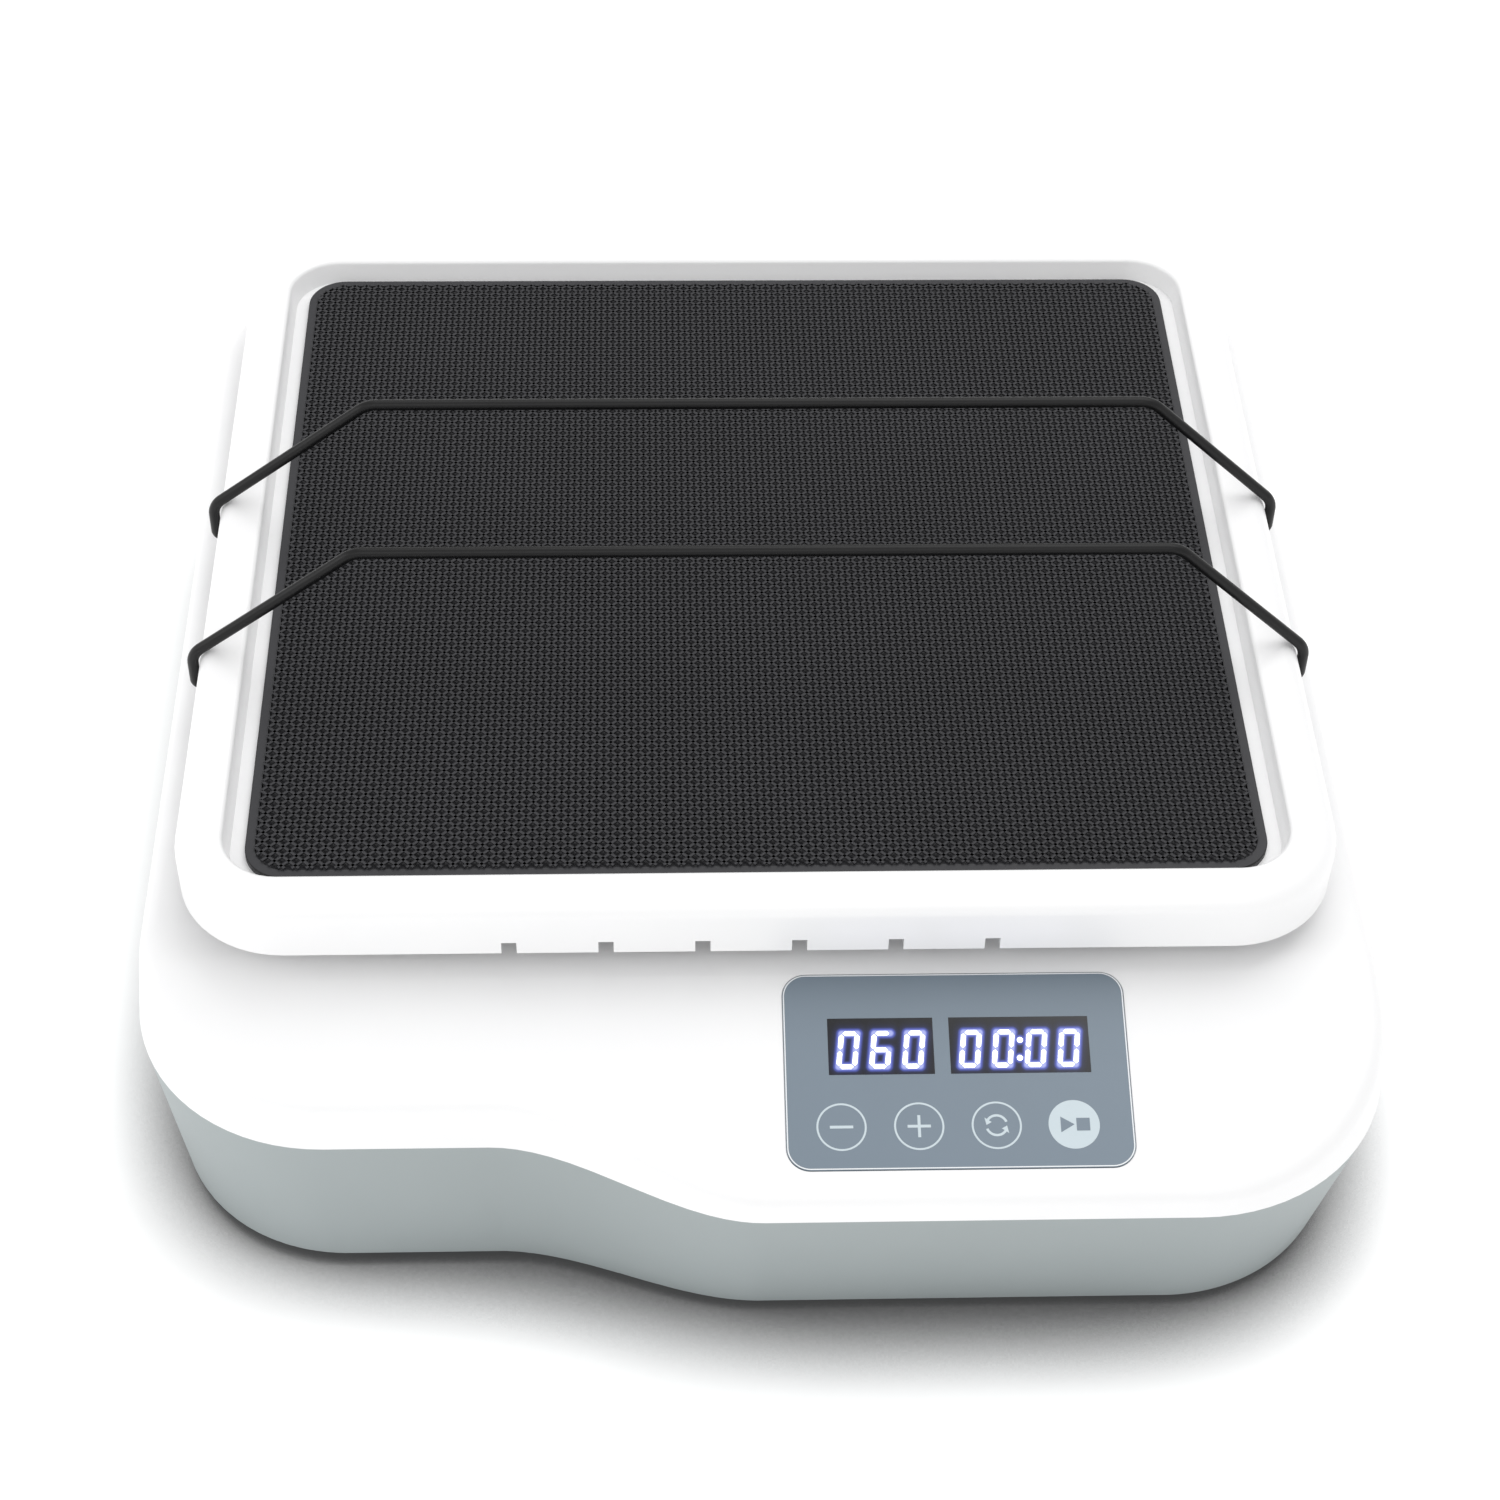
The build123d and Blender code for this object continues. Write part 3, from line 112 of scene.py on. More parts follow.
def ringStack(rings, width, depth, corner, centre):
    # A closed stack of rounded rectangles, each ring given as its inset and its height
    points, faces = [], []
    for inset, height in rings:
        outline = roundedRectangle(width - 2 * inset, depth - 2 * inset, corner - inset, centre)
        points += [(x, y, height) for x, y in outline]
    count = len(points) // len(rings)
    for row in range(len(rings) - 1):
        for k in range(count):
            low, high, after = row * count, (row + 1) * count, (k + 1) % count
            faces.append((low + k, low + after, high + after, high + k))
    faces.append(tuple(reversed(range(count))))
    faces.append(tuple(range(len(points) - count, len(points))))
    return points, faces


# Materials

def startMaterial(name):
    material = bpy.data.materials.new(name)
    material.use_nodes = True
    tree = material.node_tree
    shader = tree.nodes["Principled BSDF"]
    place = addNode(tree, "ShaderNodeTexCoord").outputs["Object"]
    return material, tree, shader, place


def toneMix(tree, factor, low, high):
    # The colour between two tones; 6, 7 and 2 are the mix node's colour sockets
    mix = addNode(tree, "ShaderNodeMix", {"data_type": "RGBA"}, {"Factor": factor, 6: low, 7: high})
    return mix.outputs[2]


def feedRange(tree, value, socket, low, high):
    # Feeds a socket from a value, mapped between two limits
    mapped = addNode(tree, "ShaderNodeMapRange", None, {"Value": value, "To Min": low, "To Max": high})
    tree.links.new(mapped.outputs["Result"], socket)


def grained(name, lowHex, highHex, mottleMm, roughness, grainMm, depthMm, **sockets):
    # A surface whose colour drifts between two close tones, with a fine grain in its height and gloss
    material, tree, shader, place = startMaterial(name)
    drift = addNode(tree, "ShaderNodeTexNoise", None,
                    {"Vector": place, "Scale": 1 / (mottleMm * mm), "Detail": 3.0, "Roughness": 0.55})
    tones = toneMix(tree, drift.outputs["Fac"], linear(lowHex), linear(highHex))
    tree.links.new(tones, shader.inputs["Base Color"])
    grain = addNode(tree, "ShaderNodeTexNoise", None,
                    {"Vector": place, "Scale": 1 / (grainMm * mm), "Detail": 2.0, "Roughness": 0.6})
    feedRange(tree, grain.outputs["Fac"], shader.inputs["Roughness"], roughness - 0.05, roughness + 0.05)
    bump = addNode(tree, "ShaderNodeBump", None,
                   {"Height": grain.outputs["Fac"], "Distance": depthMm * mm, "Strength": 0.6})
    tree.links.new(bump.outputs["Normal"], shader.inputs["Normal"])
    for socket, value in sockets.items():
        shader.inputs[socket.replace("_", " ")].default_value = value
    return material


strokeDraw = 40  # how many times longer than wide a brushed stroke is


def brushed(name, lowHex, highHex, roughness, strokeMm, axis):
    # A machined metal: fine strokes drawn out along one axis
    material, tree, shader, place = startMaterial(name)
    stretch = [1 / (strokeMm * mm)] * 3
    stretch[axis] /= strokeDraw
    mapping = addNode(tree, "ShaderNodeMapping", None, {"Vector": place, "Scale": stretch})
    strokes = addNode(tree, "ShaderNodeTexNoise", None,
                      {"Vector": mapping.outputs["Vector"], "Scale": 1.0, "Detail": 3.0, "Roughness": 0.6})
    tones = toneMix(tree, strokes.outputs["Fac"], linear(lowHex), linear(highHex))
    tree.links.new(tones, shader.inputs["Base Color"])
    feedRange(tree, strokes.outputs["Fac"], shader.inputs["Roughness"], roughness - 0.07, roughness + 0.07)
    shader.inputs["Metallic"].default_value = 1.0
    return material


def paintStepShade(material, lowMm, highMm, shadeHex):
    # Painted shade: between two heights, the steep sides of the ribs, the colour falls to near black within a
    # tenth
    tree = material.node_tree
    shader = tree.nodes["Principled BSDF"]
    tones = shader.inputs["Base Color"].links[0].from_socket
    place = addNode(tree, "ShaderNodeTexCoord").outputs["Object"]
    height = addNode(tree, "ShaderNodeSeparateXYZ", None, {"Vector": place}).outputs["Z"]
    middle = (lowMm + highMm) / 2 * mm
    away = addNode(tree, "ShaderNodeMath", {"operation": "SUBTRACT"}, {0: height, 1: middle}).outputs[0]
    far = addNode(tree, "ShaderNodeMath", {"operation": "ABSOLUTE"}, {0: away}).outputs[0]
    half = (highMm - lowMm) / 2 * mm
    clear = addNode(tree, "ShaderNodeMapRange", None,
                    {"Value": far, "From Min": half * 0.9, "From Max": half})
    mixed = toneMix(tree, clear.outputs["Result"], linear(shadeHex), tones)
    tree.links.new(mixed, shader.inputs["Base Color"])


# Moulded white ABS: satin, with a spark-eroded grain drawn coarser than life
whiteAbs = grained("white ABS, moulded satin", "#F1F1F2", "#F7F7F7", 60, 0.36, 0.5, 0.006, IOR=1.5)
# Tray ABS: as the lid, from another tool, slightly glossier on its rim
trayAbs = grained("white ABS, moulded satin tray", "#F2F2F3", "#F8F8F8", 60, 0.3, 0.5, 0.005, IOR=1.5)
# Grey-green ABS tub: etched mould, so it is duller and shows no clear reflection
tubAbs = grained("grey ABS, etched mould", "#98A0A1", "#9EA6A7", 45, 0.48, 0.6, 0.012, IOR=1.5)
# Moulded rubber mat: near black and dull, its tone drifting a little at random
matRubber = grained("EPDM rubber, moulded", "#27272A", "#2F2F33", 30, 0.55, 0.7, 0.02, IOR=1.5)
# Painted shade: the mat's crests, at 102 mm, and its cells' floors, at 101.25, keep the mat's grey; the ribs'
# sides between them are painted near black
paintStepShade(matRubber, 101.27, 101.95, "#050506")
# Dipped vinyl coating over wire: smooth, soft highlight
barVinyl = grained("vinyl-dipped wire", "#080809", "#0E0E0F", 12, 0.42, 0.8, 0.01, Specular_IOR_Level=0.32)
footRubber = grained("rubber, moulded foot", "#1C1C1D", "#242425", 10, 0.7, 0.5, 0.01)
sealRubber = grained("rubber, lip seal", "#202021", "#2A2A2B", 8, 0.6, 0.5, 0.01)
beltRubber = grained("neoprene belt", "#161617", "#1F1F20", 6, 0.65, 0.4, 0.01)
blackAbs = grained("black nylon, moulded", "#141415", "#1B1B1C", 8, 0.4, 0.4, 0.006)
motorPaint = grained("black enamel on steel can", "#1B1C1E", "#232427", 15, 0.3, 0.8, 0.004, Coat_Weight=0.3)
boardGreen = grained("FR4 board, green mask", "#0F4A26", "#1A6335", 3, 0.35, 0.6, 0.01, Coat_Weight=0.4)
# Zinc-plated steel: pale, faintly brushed by the strip mill
zincSheet = brushed("zinc-plated sheet steel", "#B9BCC0", "#D3D6D9", 0.38, 0.4, 1)
zincScrew = brushed("zinc-plated screw steel", "#C4C6C9", "#DADCDE", 0.3, 0.2, 2)
groundSteel = brushed("bearing steel, ground", "#C9CACC", "#E2E3E4", 0.22, 0.15, 2)
turnedAluminium = brushed("aluminium, turned", "#D2D3D5", "#E6E7E8", 0.32, 0.25, 2)
nickel = brushed("nickel-plated magnet", "#CFCBC4", "#E0DDD7", 0.15, 0.2, 2)

nodeFinishes = {
    whiteAbs: ["upper_housing"],
    trayAbs: ["platform_tray"],
    tubAbs: ["lower_housing"],
    matRubber: ["rubber_mat"],
    barVinyl: ["hold_down_bar_rear", "hold_down_bar_front"],
    footRubber: ["rubber_feet"],
    sealRubber: ["deck_seals"],
    beltRubber: ["drive_belt"],
    blackAbs: ["power_inlet", "switch_frame", "power_rocker", "speed_sensor", "touch_sensors",
               "speed_display", "time_display", "panel_overlay"],
    motorPaint: ["motor_body"],
    boardGreen: ["control_board", "display_board"],
    zincSheet: ["drive_chassis"],
    zincScrew: ["foot_screws", "housing_screws", "chassis_screws", "main_bearing_housing_screws",
                "idler_housing_screws", "motor_screws", "control_board_screws", "display_board_screws",
                "hub_screws", "counterweight_screws", "retaining_clip"],
    groundSteel: ["main_bearing_lower", "main_bearing_upper", "idler_bearings", "platform_bearing",
                  "platform_idler_bearings", "crank_shaft", "crank_arm", "motor_shaft", "counterweight",
                  "idler_crank_front_left", "idler_crank_front_right", "idler_crank_rear_left",
                  "idler_crank_rear_right"],
    turnedAluminium: ["main_bearing_housing", "idler_bearing_housings", "driven_pulley", "motor_pulley",
                      "platform_hub"],
    nickel: ["speed_magnet"],
}
for material, names in nodeFinishes.items():
    for name in names:
        dress(nodes[name].data, material)
print("materials set")


# Shells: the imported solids, welded and shaded smooth up to a crease angle

weldMm = 0.002


def smoothShell(node, creaseDegrees, material):
    mesh = nodes[node].data.copy()
    mesh.name = node + "_shell"
    work = bmesh.new()
    work.from_mesh(mesh)
    bmesh.ops.remove_doubles(work, verts=work.verts, dist=weldMm * mm)
    work.to_mesh(mesh)
    work.free()
    if "custom_normal" in mesh.attributes:
        mesh.attributes.remove(mesh.attributes["custom_normal"])
    mesh.shade_smooth()
    mesh.set_sharp_from_angle(angle=math.radians(creaseDegrees))
    dress(mesh, material)
    shell = bpy.data.objects.new(node + "_shell", mesh)
    scene.collection.objects.link(shell)
    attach(shell, nodes[node]["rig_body"])
    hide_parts(node)


shells = {
    "upper_housing": (28, whiteAbs, "upper_shell"),
    "lower_housing": (28, tubAbs, "lower_shell"),
    "platform_tray": (28, trayAbs, "tray_shell"),
}
for node, (crease, material, slot) in shells.items():
    smoothShell(node, crease, material)
print("shells welded")


# Hold-down bars: one smooth bent wire each

# The path is the solid's, which has the full radius; the wire is drawn thinner, as it looks in the photo
bars = {
    "radius": 1.8, "drawnRadius": 1.55, "gap": 0.15, "top": 143.8, "trayHalf": 150.5, "trayTop": 107.0,
    "rimRound": 5.0, "slopeLeft": 38.3, "slopeRight": 43.5, "topBend": 8.0, "hookBend": 2.0,
    "hookReach": 7.7, "hookHeight": 94.0, "rows": {"rear": 35.25, "front": -25.75}, "crease": 50,
}
over = bars["rimRound"] + bars["radius"] + bars["gap"]


def barCorners(slope, way):
    turn = math.radians(slope)
    side = bars["trayHalf"] + bars["radius"] + bars["gap"]
    high = bars["top"] - bars["radius"]
    wrapX = bars["trayHalf"] - bars["rimRound"] + over * math.sin(turn)
    wrapZ = bars["trayTop"] - bars["rimRound"] + over * math.cos(turn)
    meetZ = wrapZ - (side - wrapX) * math.tan(turn)
    topX = wrapX - (high - wrapZ) / math.tan(turn)
    return [(way * (side - bars["hookReach"]), bars["hookHeight"]), (way * side, bars["hookHeight"]),
            (way * side, meetZ), (way * topX, high)]


def roundedPath(corners, bends, step=4):
    # The corners of a wire, each replaced by its arc
    path = [Vector(corners[0])]
    for before, corner, after, bend in zip(corners, corners[1:], corners[2:], bends):
        corner = Vector(corner)
        inward = (Vector(before) - corner).normalized()
        outward = (Vector(after) - corner).normalized()
        half = inward.angle(outward) / 2
        centre = corner + (inward + outward).normalized() * bend / math.sin(half)
        start = corner + inward * bend / math.tan(half) - centre
        finish = corner + outward * bend / math.tan(half) - centre
        sweep = start.angle_signed(finish)
        count = max(4, int(math.degrees(abs(sweep)) / step))
        for k in range(count + 1):
            path.append(centre + start @ Matrix.Rotation(sweep * k / count, 2))
    return path + [Vector(corners[-1])]


def wirePiece(name, path, y, radius, material):
    # A round wire along a flat path, made as a curve and kept as a mesh
    curve = bpy.data.curves.new(name, "CURVE")
    curve.dimensions = "3D"
    curve.bevel_depth = radius * mm
    curve.bevel_resolution = 8
    curve.use_fill_caps = True
    spline = curve.splines.new("POLY")
    spline.points.add(len(path) - 1)
    for point, (x, z) in zip(spline.points, path):
        point.co = (x * mm, y * mm, z * mm, 1)
    holder = bpy.data.objects.new(name, curve)
    scene.collection.objects.link(holder)
    mesh = bpy.data.meshes.new_from_object(holder.evaluated_get(bpy.context.evaluated_depsgraph_get()))
    bpy.data.objects.remove(holder)
    mesh.name = name
    mesh.shade_smooth()
    mesh.set_sharp_from_angle(angle=math.radians(bars["crease"]))
    dress(mesh, material)
    wire = bpy.data.objects.new(name, mesh)
    scene.collection.objects.link(wire)
    return wire


barBends = [bars["hookBend"], over, bars["topBend"], bars["topBend"], over, bars["hookBend"]]
barLine = roundedPath(barCorners(bars["slopeLeft"], -1) + barCorners(bars["slopeRight"], 1)[::-1], barBends)
for place, y in bars["rows"].items():
    bar = wirePiece("bar_" + place, barLine, y, bars["drawnRadius"], barVinyl)
    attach(bar, "platform")
    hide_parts("hold_down_bar_" + place)
print("bars bent")


# Rubber mat: a smooth border around a sunk field of crossing ribs

mat = {
    "width": 265.0, "depth": 249.0, "corner": 11.0, "centre": (0.0, 20.0), "bottom": 100.0, "top": 102.0,
    "border": 2.6, "fieldDrop": 0.75, "edge": 0.35, "pitchX": 25.6 / 7, "pitchY": 23.2 / 7,
    "ribWidth": 0.8, "ribHeight": 0.75, "crestShare": 0.22, "stepRun": 0.25, "ribInset": 0.1, "shortest": 1.0,
}


def outsideMat(x, y, inset):
    # How far a point lies outside the mat's outline drawn in by an inset; negative inside
    radius = mat["corner"] - inset
    dx = abs(x - mat["centre"][0]) - (mat["width"] / 2 - inset - radius)
    dy = abs(y - mat["centre"][1]) - (mat["depth"] / 2 - inset - radius)
    return math.hypot(max(dx, 0), max(dy, 0)) + min(max(dx, dy), 0) - radius


def clippedLine(start, finish, inset):
    # The stretch of a line inside the outline, found by halving from its innermost place
    nearest = min((k / 40 for k in range(41)), key=lambda t: outsideMat(*start.lerp(finish, t), inset))
    middle = start.lerp(finish, nearest)
    if outsideMat(*middle, inset) >= 0:
        return None
    ends = []
    for far in (start, finish):
        near = middle.copy()
        for _ in range(24):
            probe = (near + far) / 2
            if outsideMat(*probe, inset) < 0:
                near = probe
            else:
                far = probe
        ends.append(near)
    return ends


def matBody():
    # The pad: outer wall, rounded top edge, border, step down and field
    edge = mat["edge"]
    rings = [(0.0, mat["bottom"])]
    for k in range(5):
        turn = math.radians(90 * k / 4)
        rings.append((edge * (1 - math.cos(turn)), mat["top"] - edge + edge * math.sin(turn)))
    rings.append((mat["border"], mat["top"]))
    rings.append((mat["border"] + mat["stepRun"], mat["top"] - mat["fieldDrop"]))
    return ringStack(rings, mat["width"], mat["depth"], mat["corner"], mat["centre"])


def ribTree():
    # Sweeps a rib, narrower at its crest, along every line of a drawing
    tree = bpy.data.node_groups.new("rib_sweep", "GeometryNodeTree")
    face = tree.interface
    face.new_socket("Geometry", in_out="INPUT", socket_type="NodeSocketGeometry")
    face.new_socket("Rib width", in_out="INPUT", socket_type="NodeSocketFloat")
    face.new_socket("Rib height", in_out="INPUT", socket_type="NodeSocketFloat")
    face.new_socket("Material", in_out="INPUT", socket_type="NodeSocketMaterial")
    face.new_socket("Geometry", in_out="OUTPUT", socket_type="NodeSocketGeometry")
    given = addNode(tree, "NodeGroupInput").outputs
    lines = addNode(tree, "GeometryNodeMeshToCurve", None, {"Mesh": given["Geometry"]})
    level = addNode(tree, "GeometryNodeSetCurveNormal", {"mode": "Z_UP"}, {"Curve": lines.outputs["Curve"]})

    def share(name, part):
        scaled = addNode(tree, "ShaderNodeMath", {"operation": "MULTIPLY"}, {0: given[name], 1: part})
        return scaled.outputs[0]

    foot = share("Rib height", -1.0)
    corners = []
    for part, up in ((0.5, foot), (mat["crestShare"], 0.0), (-mat["crestShare"], 0.0), (-0.5, foot)):
        point = addNode(tree, "ShaderNodeCombineXYZ", None, {"X": share("Rib width", part), "Y": up})
        corners.append(point.outputs[0])
    profile = addNode(tree, "GeometryNodeCurvePrimitiveQuadrilateral", {"mode": "POINTS"},
                      {f"Point {k}": corner for k, corner in enumerate(corners, 1)})
    swept = addNode(tree, "GeometryNodeCurveToMesh", None,
                    {"Curve": level.outputs["Curve"], "Profile Curve": profile.outputs["Curve"],
                     "Fill Caps": True})
    whole = addNode(tree, "GeometryNodeRealizeInstances", None, {"Geometry": swept.outputs["Mesh"]})
    dressed = addNode(tree, "GeometryNodeSetMaterial", None,
                      {"Geometry": whole.outputs["Geometry"], "Material": given["Material"]})
    addNode(tree, "NodeGroupOutput", None, {"Geometry": dressed.outputs["Geometry"]})
    return tree


def matRibLines():
    # Two families of slanting lines across the field, clipped to its rounded outline
    points, edges = [], []
    cx, cy = mat["centre"]
    reachX = mat["width"] / 2
    slope = mat["pitchY"] / mat["pitchX"]
    spread = mat["depth"] / 2 + slope * reachX
    count = int(spread / mat["pitchY"])
    for way in (1, -1):
        for k in range(-count, count + 1):
            offset = cy + k * mat["pitchY"]
            start = Vector((cx - reachX, offset - way * slope * reachX))
            finish = Vector((cx + reachX, offset + way * slope * reachX))
            ends = clippedLine(start, finish, mat["border"] + mat["ribInset"])
            if ends and (ends[0] - ends[1]).length > mat["shortest"]:
                edges.append((len(points), len(points) + 1))
                points += [(*ends[0], mat["top"]), (*ends[1], mat["top"])]
    return points, edges


def makeMat():
    linePoints, lineEdges = matRibLines()
    drawing = bpy.data.meshes.new("mat_lines")
    drawing.from_pydata([Vector(p) * mm for p in linePoints], lineEdges, [])
    holder = bpy.data.objects.new("mat_lines", drawing)
    scene.collection.objects.link(holder)
    tree = ribTree()
    modifier = holder.modifiers.new("ribs", "NODES")
    modifier.node_group = tree
    sizes = {"Rib width": mat["ribWidth"] * mm, "Rib height": mat["ribHeight"] * mm, "Material": matRubber}
    for item in tree.interface.items_tree:
        if item.in_out == "INPUT" and item.name in sizes:
            modifier[item.identifier] = sizes[item.name]
    ribs = bpy.data.meshes.new_from_object(holder.evaluated_get(bpy.context.evaluated_depsgraph_get()))
    bpy.data.objects.remove(holder)
    points, faces = matBody()
    body = meshPiece("rubber_mat_body", points, faces, matRubber)
    joined = bmesh.new()
    joined.from_mesh(body.data)
    joined.from_mesh(ribs)
    joined.to_mesh(body.data)
    joined.free()
    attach(body, "platform")
    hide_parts("rubber_mat")


makeMat()
print("mat ribbed")


# Panel on the slope: film, windows, lit digits and key marks

panel = {
    "x": 49.5, "down": 31.2, "breakY": -116.0, "deck": 81.5, "slope": 16.5,
    "width": 88.0, "height": 53.0, "corner": 6.0, "film": 0.3, "sink": 0.5, "edge": 0.45,
    "windowRow": 6.6, "windowHeight": 15.4, "windows": {"speed": (-19.2, 27.0), "time": (16.3, 35.8)},
    "keyRow": -15.1, "keyStart": -30.0, "keyPitch": 19.6, "keyRadius": 6.35, "keyStroke": 0.5,
    "discRadius": 6.5, "printLift": 0.03, "cut": 0.12, "rimInset": 0.15,
}
digits = {
    "height": 10.2, "width": 5.2, "pitch": 8.4, "stroke": 1.15, "gap": 0.28, "lean": 0.12,
    "drop": -1.0, "lift": 0.07, "cell": 0.3, "glowReach": 0.95, "glowFall": 1.3, "glowPeak": 0.9,
    "colon": ((0.2, 2.3), (-0.1, -2.6)), "dotRadius": 0.72,
}
# Key marks, from each key's middle: strokes, the two arrows' arcs in degrees, and the last key's two signs
marks = {
    "reach": 2.95, "half": 0.38, "arcInner": 2.3, "arcOuter": 2.95, "arcStart": 20, "arcSweep": 125,
    "arcSteps": 24, "tipTurn": 178, "arrowRadii": (3.7, 2.6, 1.5),
    "triangle": ((-3.4, -2.1), (0.1, 0.0), (-3.4, 2.1)),
    "square": ((0.6, -1.7), (4.0, -1.7), (4.0, 1.7), (0.6, 1.7)),
}
slopeTurn = math.radians(panel["slope"])
panelUp = Vector((0, math.cos(slopeTurn), math.sin(slopeTurn)))
panelOut = Vector((0, -math.sin(slopeTurn), math.cos(slopeTurn)))
panelMiddle = Vector((panel["x"], panel["breakY"], panel["deck"])) - panelUp * panel["down"]


def onPanel(x, y, lift):
    # A place on the panel, in the row's millimetres, lifted from the film's face
    return panelMiddle + Vector((x, 0, 0)) + panelUp * y + panelOut * (panel["film"] + lift)


def glowing(name, hexColour, strength):
    material, tree, shader, place = startMaterial(name)
    flicker = addNode(tree, "ShaderNodeTexNoise", None,
                      {"Vector": place, "Scale": 1 / (0.8 * mm), "Detail": 1.0})
    feedRange(tree, flicker.outputs["Fac"], shader.inputs["Emission Strength"],
              strength * 0.95, strength * 1.05)
    shader.inputs["Base Color"].default_value = linear(hexColour)
    shader.inputs["Emission Color"].default_value = linear(hexColour)
    shader.inputs["Roughness"].default_value = 0.3
    return material


def windowGlass():
    # Smoked window over the digits: glossy near black, with the digits' blue halo read from the mesh
    material, tree, shader, place = startMaterial("smoked acrylic window")
    halo = addNode(tree, "ShaderNodeAttribute", {"attribute_name": "halo"}).outputs["Fac"]
    colour = addNode(tree, "ShaderNodeValToRGB", None, {"Fac": halo})
    ramp = colour.color_ramp
    ramp.elements[0].color = linear("#05060B")
    ramp.elements[1].color = linear("#C4CCFF")
    for position, tone in ((0.3, "#1B2146"), (0.65, "#5663C4")):
        ramp.elements.new(position).color = linear(tone)
    tree.links.new(colour.outputs["Color"], shader.inputs["Emission Color"])
    shader.inputs["Emission Strength"].default_value = 1.0
    shader.inputs["Base Color"].default_value = linear("#07080C")
    smear = addNode(tree, "ShaderNodeTexNoise", None, {"Vector": place, "Scale": 1 / (4 * mm), "Detail": 3.0})
    feedRange(tree, smear.outputs["Fac"], shader.inputs["Roughness"], 0.12, 0.2)
    return material


# Printed polyester film: slate, satin, with a very fine screen texture
filmSlate = grained("polyester film, slate print", "#717F8B", "#74828F", 25, 0.34, 0.5, 0.004, IOR=1.57)
# Pale ink of the key marks, and the film's paler clear margin
printPale = grained("pale screen print", "#C3D0D6", "#C8D4DA", 5, 0.4, 0.4, 0.003)
edgePale = grained("film edge, clear", "#E6EAED", "#EEF1F3", 5, 0.3, 0.4, 0.003)
digitLit = glowing("white LED segment", "#F4F6FF", 3.0)
windowSmoke = windowGlass()

filmParts = []


def flatPiece(name, outline, lift, material):
    # A flat printed shape on the panel
    piece = meshPiece(name, [onPanel(x, y, lift) for x, y in outline], [tuple(range(len(outline)))], material)
    filmParts.append(piece)


def bandPiece(name, inner, outer, lift, material):
    # A flat band between two outlines with as many points
    count = len(inner)
    points = [onPanel(x, y, lift) for x, y in inner + outer]
    faces = [(count + k, count + (k + 1) % count, (k + 1) % count, k) for k in range(count)]
    piece = meshPiece(name, points, faces, material)
    filmParts.append(piece)


def circleOutline(x, y, radius, count=64):
    return [(x + radius * math.cos(2 * math.pi * k / count), y + radius * math.sin(2 * math.pi * k / count))
            for k in range(count)]


def makeFilm():
    # The film itself: a closed thin plate with a rounded outline
    cut = panel["cut"]
    rings = [(0.0, -panel["sink"] - panel["film"]), (0.0, -cut), (cut, 0.0)]
    flat, faces = ringStack(rings, panel["width"], panel["height"], panel["corner"], (0, 0))
    points = [onPanel(*point) for point in flat]
    film = meshPiece("panel_film", points, faces, filmSlate)
    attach(film, "base")
    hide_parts("panel_overlay")


segmentEnds = {
    "a": ((0, 1), (1, 1)), "b": ((1, 1), (1, 0.5)), "c": ((1, 0.5), (1, 0)), "d": ((0, 0), (1, 0)),
    "e": ((0, 0.5), (0, 0)), "f": ((0, 1), (0, 0.5)), "g": ((0, 0.5), (1, 0.5)),
}
litSegments = {"0": "abcdef", "6": "acdefg"}


def digitSegments(character, x, y):
    # The centre lines of a digit's lit segments, leaning a little to the right
    lines = []
    reachX = digits["width"] - digits["stroke"]
    reachY = digits["height"] - digits["stroke"]
    for name in litSegments[character]:
        ends = []
        for u, v in segmentEnds[name]:
            py = y + (v - 0.5) * reachY
            ends.append(Vector((x + (u - 0.5) * reachX + (py - y) * digits["lean"], py)))
        lines.append(ends)
    return lines


def segmentShape(start, finish):
    # A segment bar with pointed ends
    along = (finish - start).normalized()
    across = Vector((-along.y, along.x)) * digits["stroke"] / 2
    tip = along * digits["gap"]
    shoulder = along * (digits["gap"] + digits["stroke"] / 2)
    return [start + tip, start + shoulder - across, finish - shoulder - across, finish - tip,
            finish - shoulder + across, start + shoulder + across]


def distanceToLine(point, start, finish):
    along = finish - start
    share = max(0, min(1, (point - start).dot(along) / along.length_squared))
    return (point - start - along * share).length


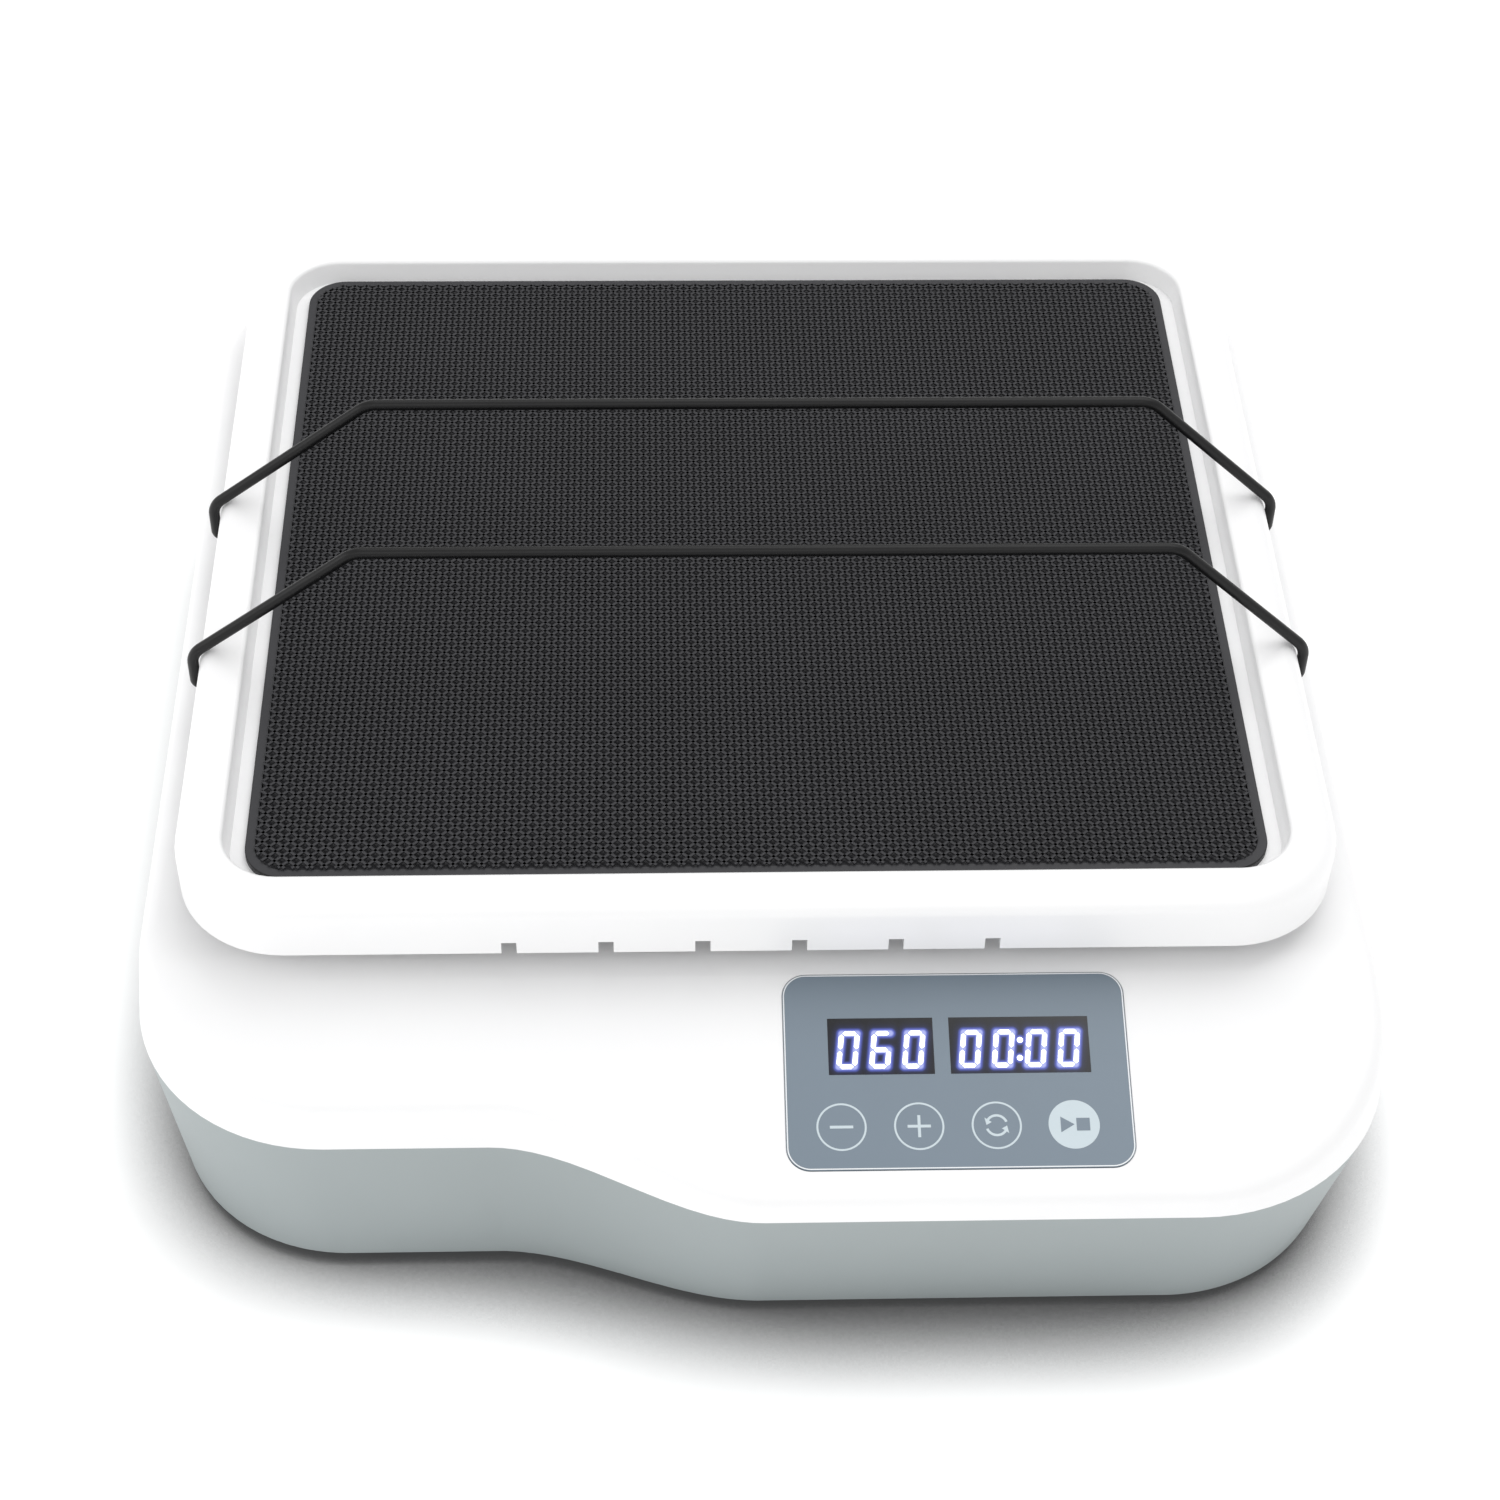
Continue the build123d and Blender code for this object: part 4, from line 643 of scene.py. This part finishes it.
def makeWindow(name, text):
    # A glass window with a fine grid that carries the halo, and crisp segments on top
    x, width = panel["windows"][name]
    y = panel["windowRow"]
    height = panel["windowHeight"]
    digitY = y + digits["drop"]
    lines, dots = [], []
    characters = [c for c in text if c != ":"]
    start = x - digits["pitch"] * (len(characters) - 1) / 2
    for k, character in enumerate(characters):
        lines += digitSegments(character, start + k * digits["pitch"], digitY)
    if ":" in text:
        dots = [Vector((x + lean, digitY + up)) for lean, up in digits["colon"]]
    columns = int(width / digits["cell"])
    rows = int(height / digits["cell"])
    points, faces, halos = [], [], []
    for row in range(rows + 1):
        for column in range(columns + 1):
            spot = Vector((x - width / 2 + width * column / columns, y - height / 2 + height * row / rows))
            near = min([distanceToLine(spot, *line) for line in lines]
                       + [(spot - dot).length for dot in dots])
            away = max(0, near - digits["stroke"] / 2) / digits["glowReach"]
            halos.append(math.exp(-away ** digits["glowFall"]) * digits["glowPeak"])
            points.append(onPanel(spot.x, spot.y, digits["lift"] / 2))
    for row in range(rows):
        for column in range(columns):
            corner = row * (columns + 1) + column
            faces.append((corner, corner + 1, corner + columns + 2, corner + columns + 1))
    glass = meshPiece(name + "_window", points, faces, windowSmoke)
    attribute = glass.data.attributes.new("halo", "FLOAT", "POINT")
    attribute.data.foreach_set("value", halos)
    lit, litFaces = [], []
    for line in lines:
        shape = segmentShape(*line)
        litFaces.append(tuple(range(len(lit), len(lit) + len(shape))))
        lit += [onPanel(p.x, p.y, digits["lift"]) for p in shape]
    for dot in dots:
        shape = circleOutline(dot.x, dot.y, digits["dotRadius"], 24)
        litFaces.append(tuple(range(len(lit), len(lit) + len(shape))))
        lit += [onPanel(px, py, digits["lift"]) for px, py in shape]
    segments = meshPiece(name + "_digits", lit, litFaces, digitLit)
    for piece in (glass, segments):
        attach(piece, "base")


def makeKeys():
    lift = panel["printLift"]
    keys = [(panel["keyStart"] + k * panel["keyPitch"], panel["keyRow"]) for k in range(4)]
    for k, (x, y) in enumerate(keys[:3]):
        bandPiece(f"key_ring_{k}", circleOutline(x, y, panel["keyRadius"] - panel["keyStroke"]),
                  circleOutline(x, y, panel["keyRadius"]), lift, printPale)
    s, h = marks["reach"], marks["half"]
    x, y = keys[0]
    bar = [(-s, -h), (s, -h), (s, h), (-s, h)]
    flatPiece("key_minus", [(x + u, y + v) for u, v in bar], lift, printPale)
    x, y = keys[1]
    cross = [(-s, -h), (-h, -h), (-h, -s), (h, -s), (h, -h), (s, -h),
             (s, h), (h, h), (h, s), (-h, s), (-h, h), (-s, h)]
    flatPiece("key_plus", [(x + u, y + v) for u, v in cross], lift, printPale)
    middle = Vector(keys[2])

    def around(radius, turn):
        return middle + radius * Vector((math.cos(turn), math.sin(turn)))

    steps = marks["arcSteps"]
    for k, turn in enumerate((0, math.pi)):
        arc = [turn + math.radians(marks["arcStart"] + marks["arcSweep"] * j / steps)
               for j in range(steps + 1)]
        outer = [around(marks["arcOuter"], a) for a in arc]
        inner = [around(marks["arcInner"], a) for a in arc]
        flatPiece(f"key_cycle_{k}", outer + inner[::-1], lift, printPale)
        turns = (arc[-1], turn + math.radians(marks["tipTurn"]), arc[-1])
        arrow = [around(radius, a) for radius, a in zip(marks["arrowRadii"], turns)]
        flatPiece(f"key_arrow_{k}", arrow, lift, printPale)
    x, y = keys[3]
    flatPiece("key_disc", circleOutline(x, y, panel["discRadius"]), lift, printPale)
    for name, sign in (("key_start", marks["triangle"]), ("key_stop", marks["square"])):
        flatPiece(name, [(x + u, y + v) for u, v in sign], 2 * lift, filmSlate)
    inner, outer = (roundedRectangle(panel["width"] - 2 * inset, panel["height"] - 2 * inset,
                                     panel["corner"] - inset, (0, 0))
                    for inset in (panel["edge"], panel["rimInset"]))
    bandPiece("film_rim", inner, outer, lift, edgePale)


makeFilm()
makeWindow("speed", "060")
makeWindow("time", "00:00")
makeKeys()
for piece in filmParts:
    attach(piece, "base")
print("panel printed")


# Stage, light and camera

stage = {
    "size": 6000, "dark": "#303132", "pale": "#F9F9F9", "reach": 0.045, "openFrom": 0.45, "openTo": 0.8,
    "least": 0.05, "glow": 0.3, "world": 0.72,
}


def makeStage():
    material, tree, shader, place = startMaterial("pale studio floor")
    haze = addNode(tree, "ShaderNodeTexNoise", None, {"Vector": place, "Scale": 2.0, "Detail": 2.0})
    feedRange(tree, haze.outputs["Fac"], shader.inputs["Roughness"], 0.75, 0.85)
    # The floor darkens where the part stands close over it, as its contact shadow does in the photo
    near = addNode(tree, "ShaderNodeAmbientOcclusion", {"samples": 12}, {"Distance": stage["reach"]})
    shade = addNode(tree, "ShaderNodeMapRange", None,
                    {"Value": near.outputs["AO"], "From Min": stage["openFrom"], "From Max": stage["openTo"],
                     "To Min": stage["least"], "To Max": 1.0})
    tones = toneMix(tree, shade.outputs["Result"], linear(stage["dark"]), linear(stage["pale"]))
    tree.links.new(tones, shader.inputs["Base Color"])
    tree.links.new(tones, shader.inputs["Emission Color"])
    shader.inputs["Emission Strength"].default_value = stage["glow"]
    size = stage["size"]
    floor = meshPiece("floor", [(-size, -size, 0), (size, -size, 0), (size, size, 0), (-size, size, 0)],
                      [(0, 1, 2, 3)], material)


def makeLight(name, place, aim, size, power):
    data = bpy.data.lights.new(name, "AREA")
    data.shape = "RECTANGLE"
    data.size, data.size_y = size
    data.energy = power
    lamp = bpy.data.objects.new(name, data)
    scene.collection.objects.link(lamp)
    lamp.location = place
    lamp.rotation_euler = (Vector(aim) - Vector(place)).to_track_quat("-Z", "Y").to_euler()


# Each light's place and aim in metres, its two sides in metres, and its power in watts
lights = {
    "overhead": ((0.4, 0.5, 1.5), (0, 0, 0.05), (1.5, 1.0), 9),
    "left": ((-1.6, -0.3, 0.8), (0, 0, 0.05), (1.0, 0.9), 5),
    "front": ((-0.2, -1.4, 1.5), (0, 0, 0.05), (1.6, 0.8), 6),
}
camera = {
    "place": (-27.3, -617.3, 679.2), "pitch": 46.0, "yaw": 2.67, "roll": -1.465, "focalPixels": 3010.0,
    "framePixels": 1500.0, "sensor": 36.0,
}


def makeCamera():
    pitch, yaw, roll = (math.radians(camera[key]) for key in ("pitch", "yaw", "roll"))
    ahead = Vector((math.sin(yaw) * math.cos(pitch), math.cos(yaw) * math.cos(pitch), -math.sin(pitch)))
    level = Vector((math.cos(yaw), -math.sin(yaw), 0))
    down = ahead.cross(level)
    right = math.cos(roll) * level + math.sin(roll) * down
    low = -math.sin(roll) * level + math.cos(roll) * down
    data = bpy.data.cameras.new("camera")
    data.sensor_width = camera["sensor"]
    data.lens = camera["focalPixels"] * camera["sensor"] / camera["framePixels"]
    eye = bpy.data.objects.new("camera", data)
    scene.collection.objects.link(eye)
    turn = Matrix((right, -low, -ahead)).transposed()
    eye.matrix_world = Matrix.Translation(Vector(camera["place"]) * mm) @ turn.to_4x4()
    scene.camera = eye


makeStage()
for name, (place, aim, size, power) in lights.items():
    makeLight(name, place, aim, size, power)
world = bpy.data.worlds.new("studio")
scene.world = world
world.use_nodes = True
sky = world.node_tree.nodes["Background"]
sky.inputs["Color"].default_value = linear("#FFFFFF")
sky.inputs["Strength"].default_value = stage["world"]
makeCamera()
print("stage lit")
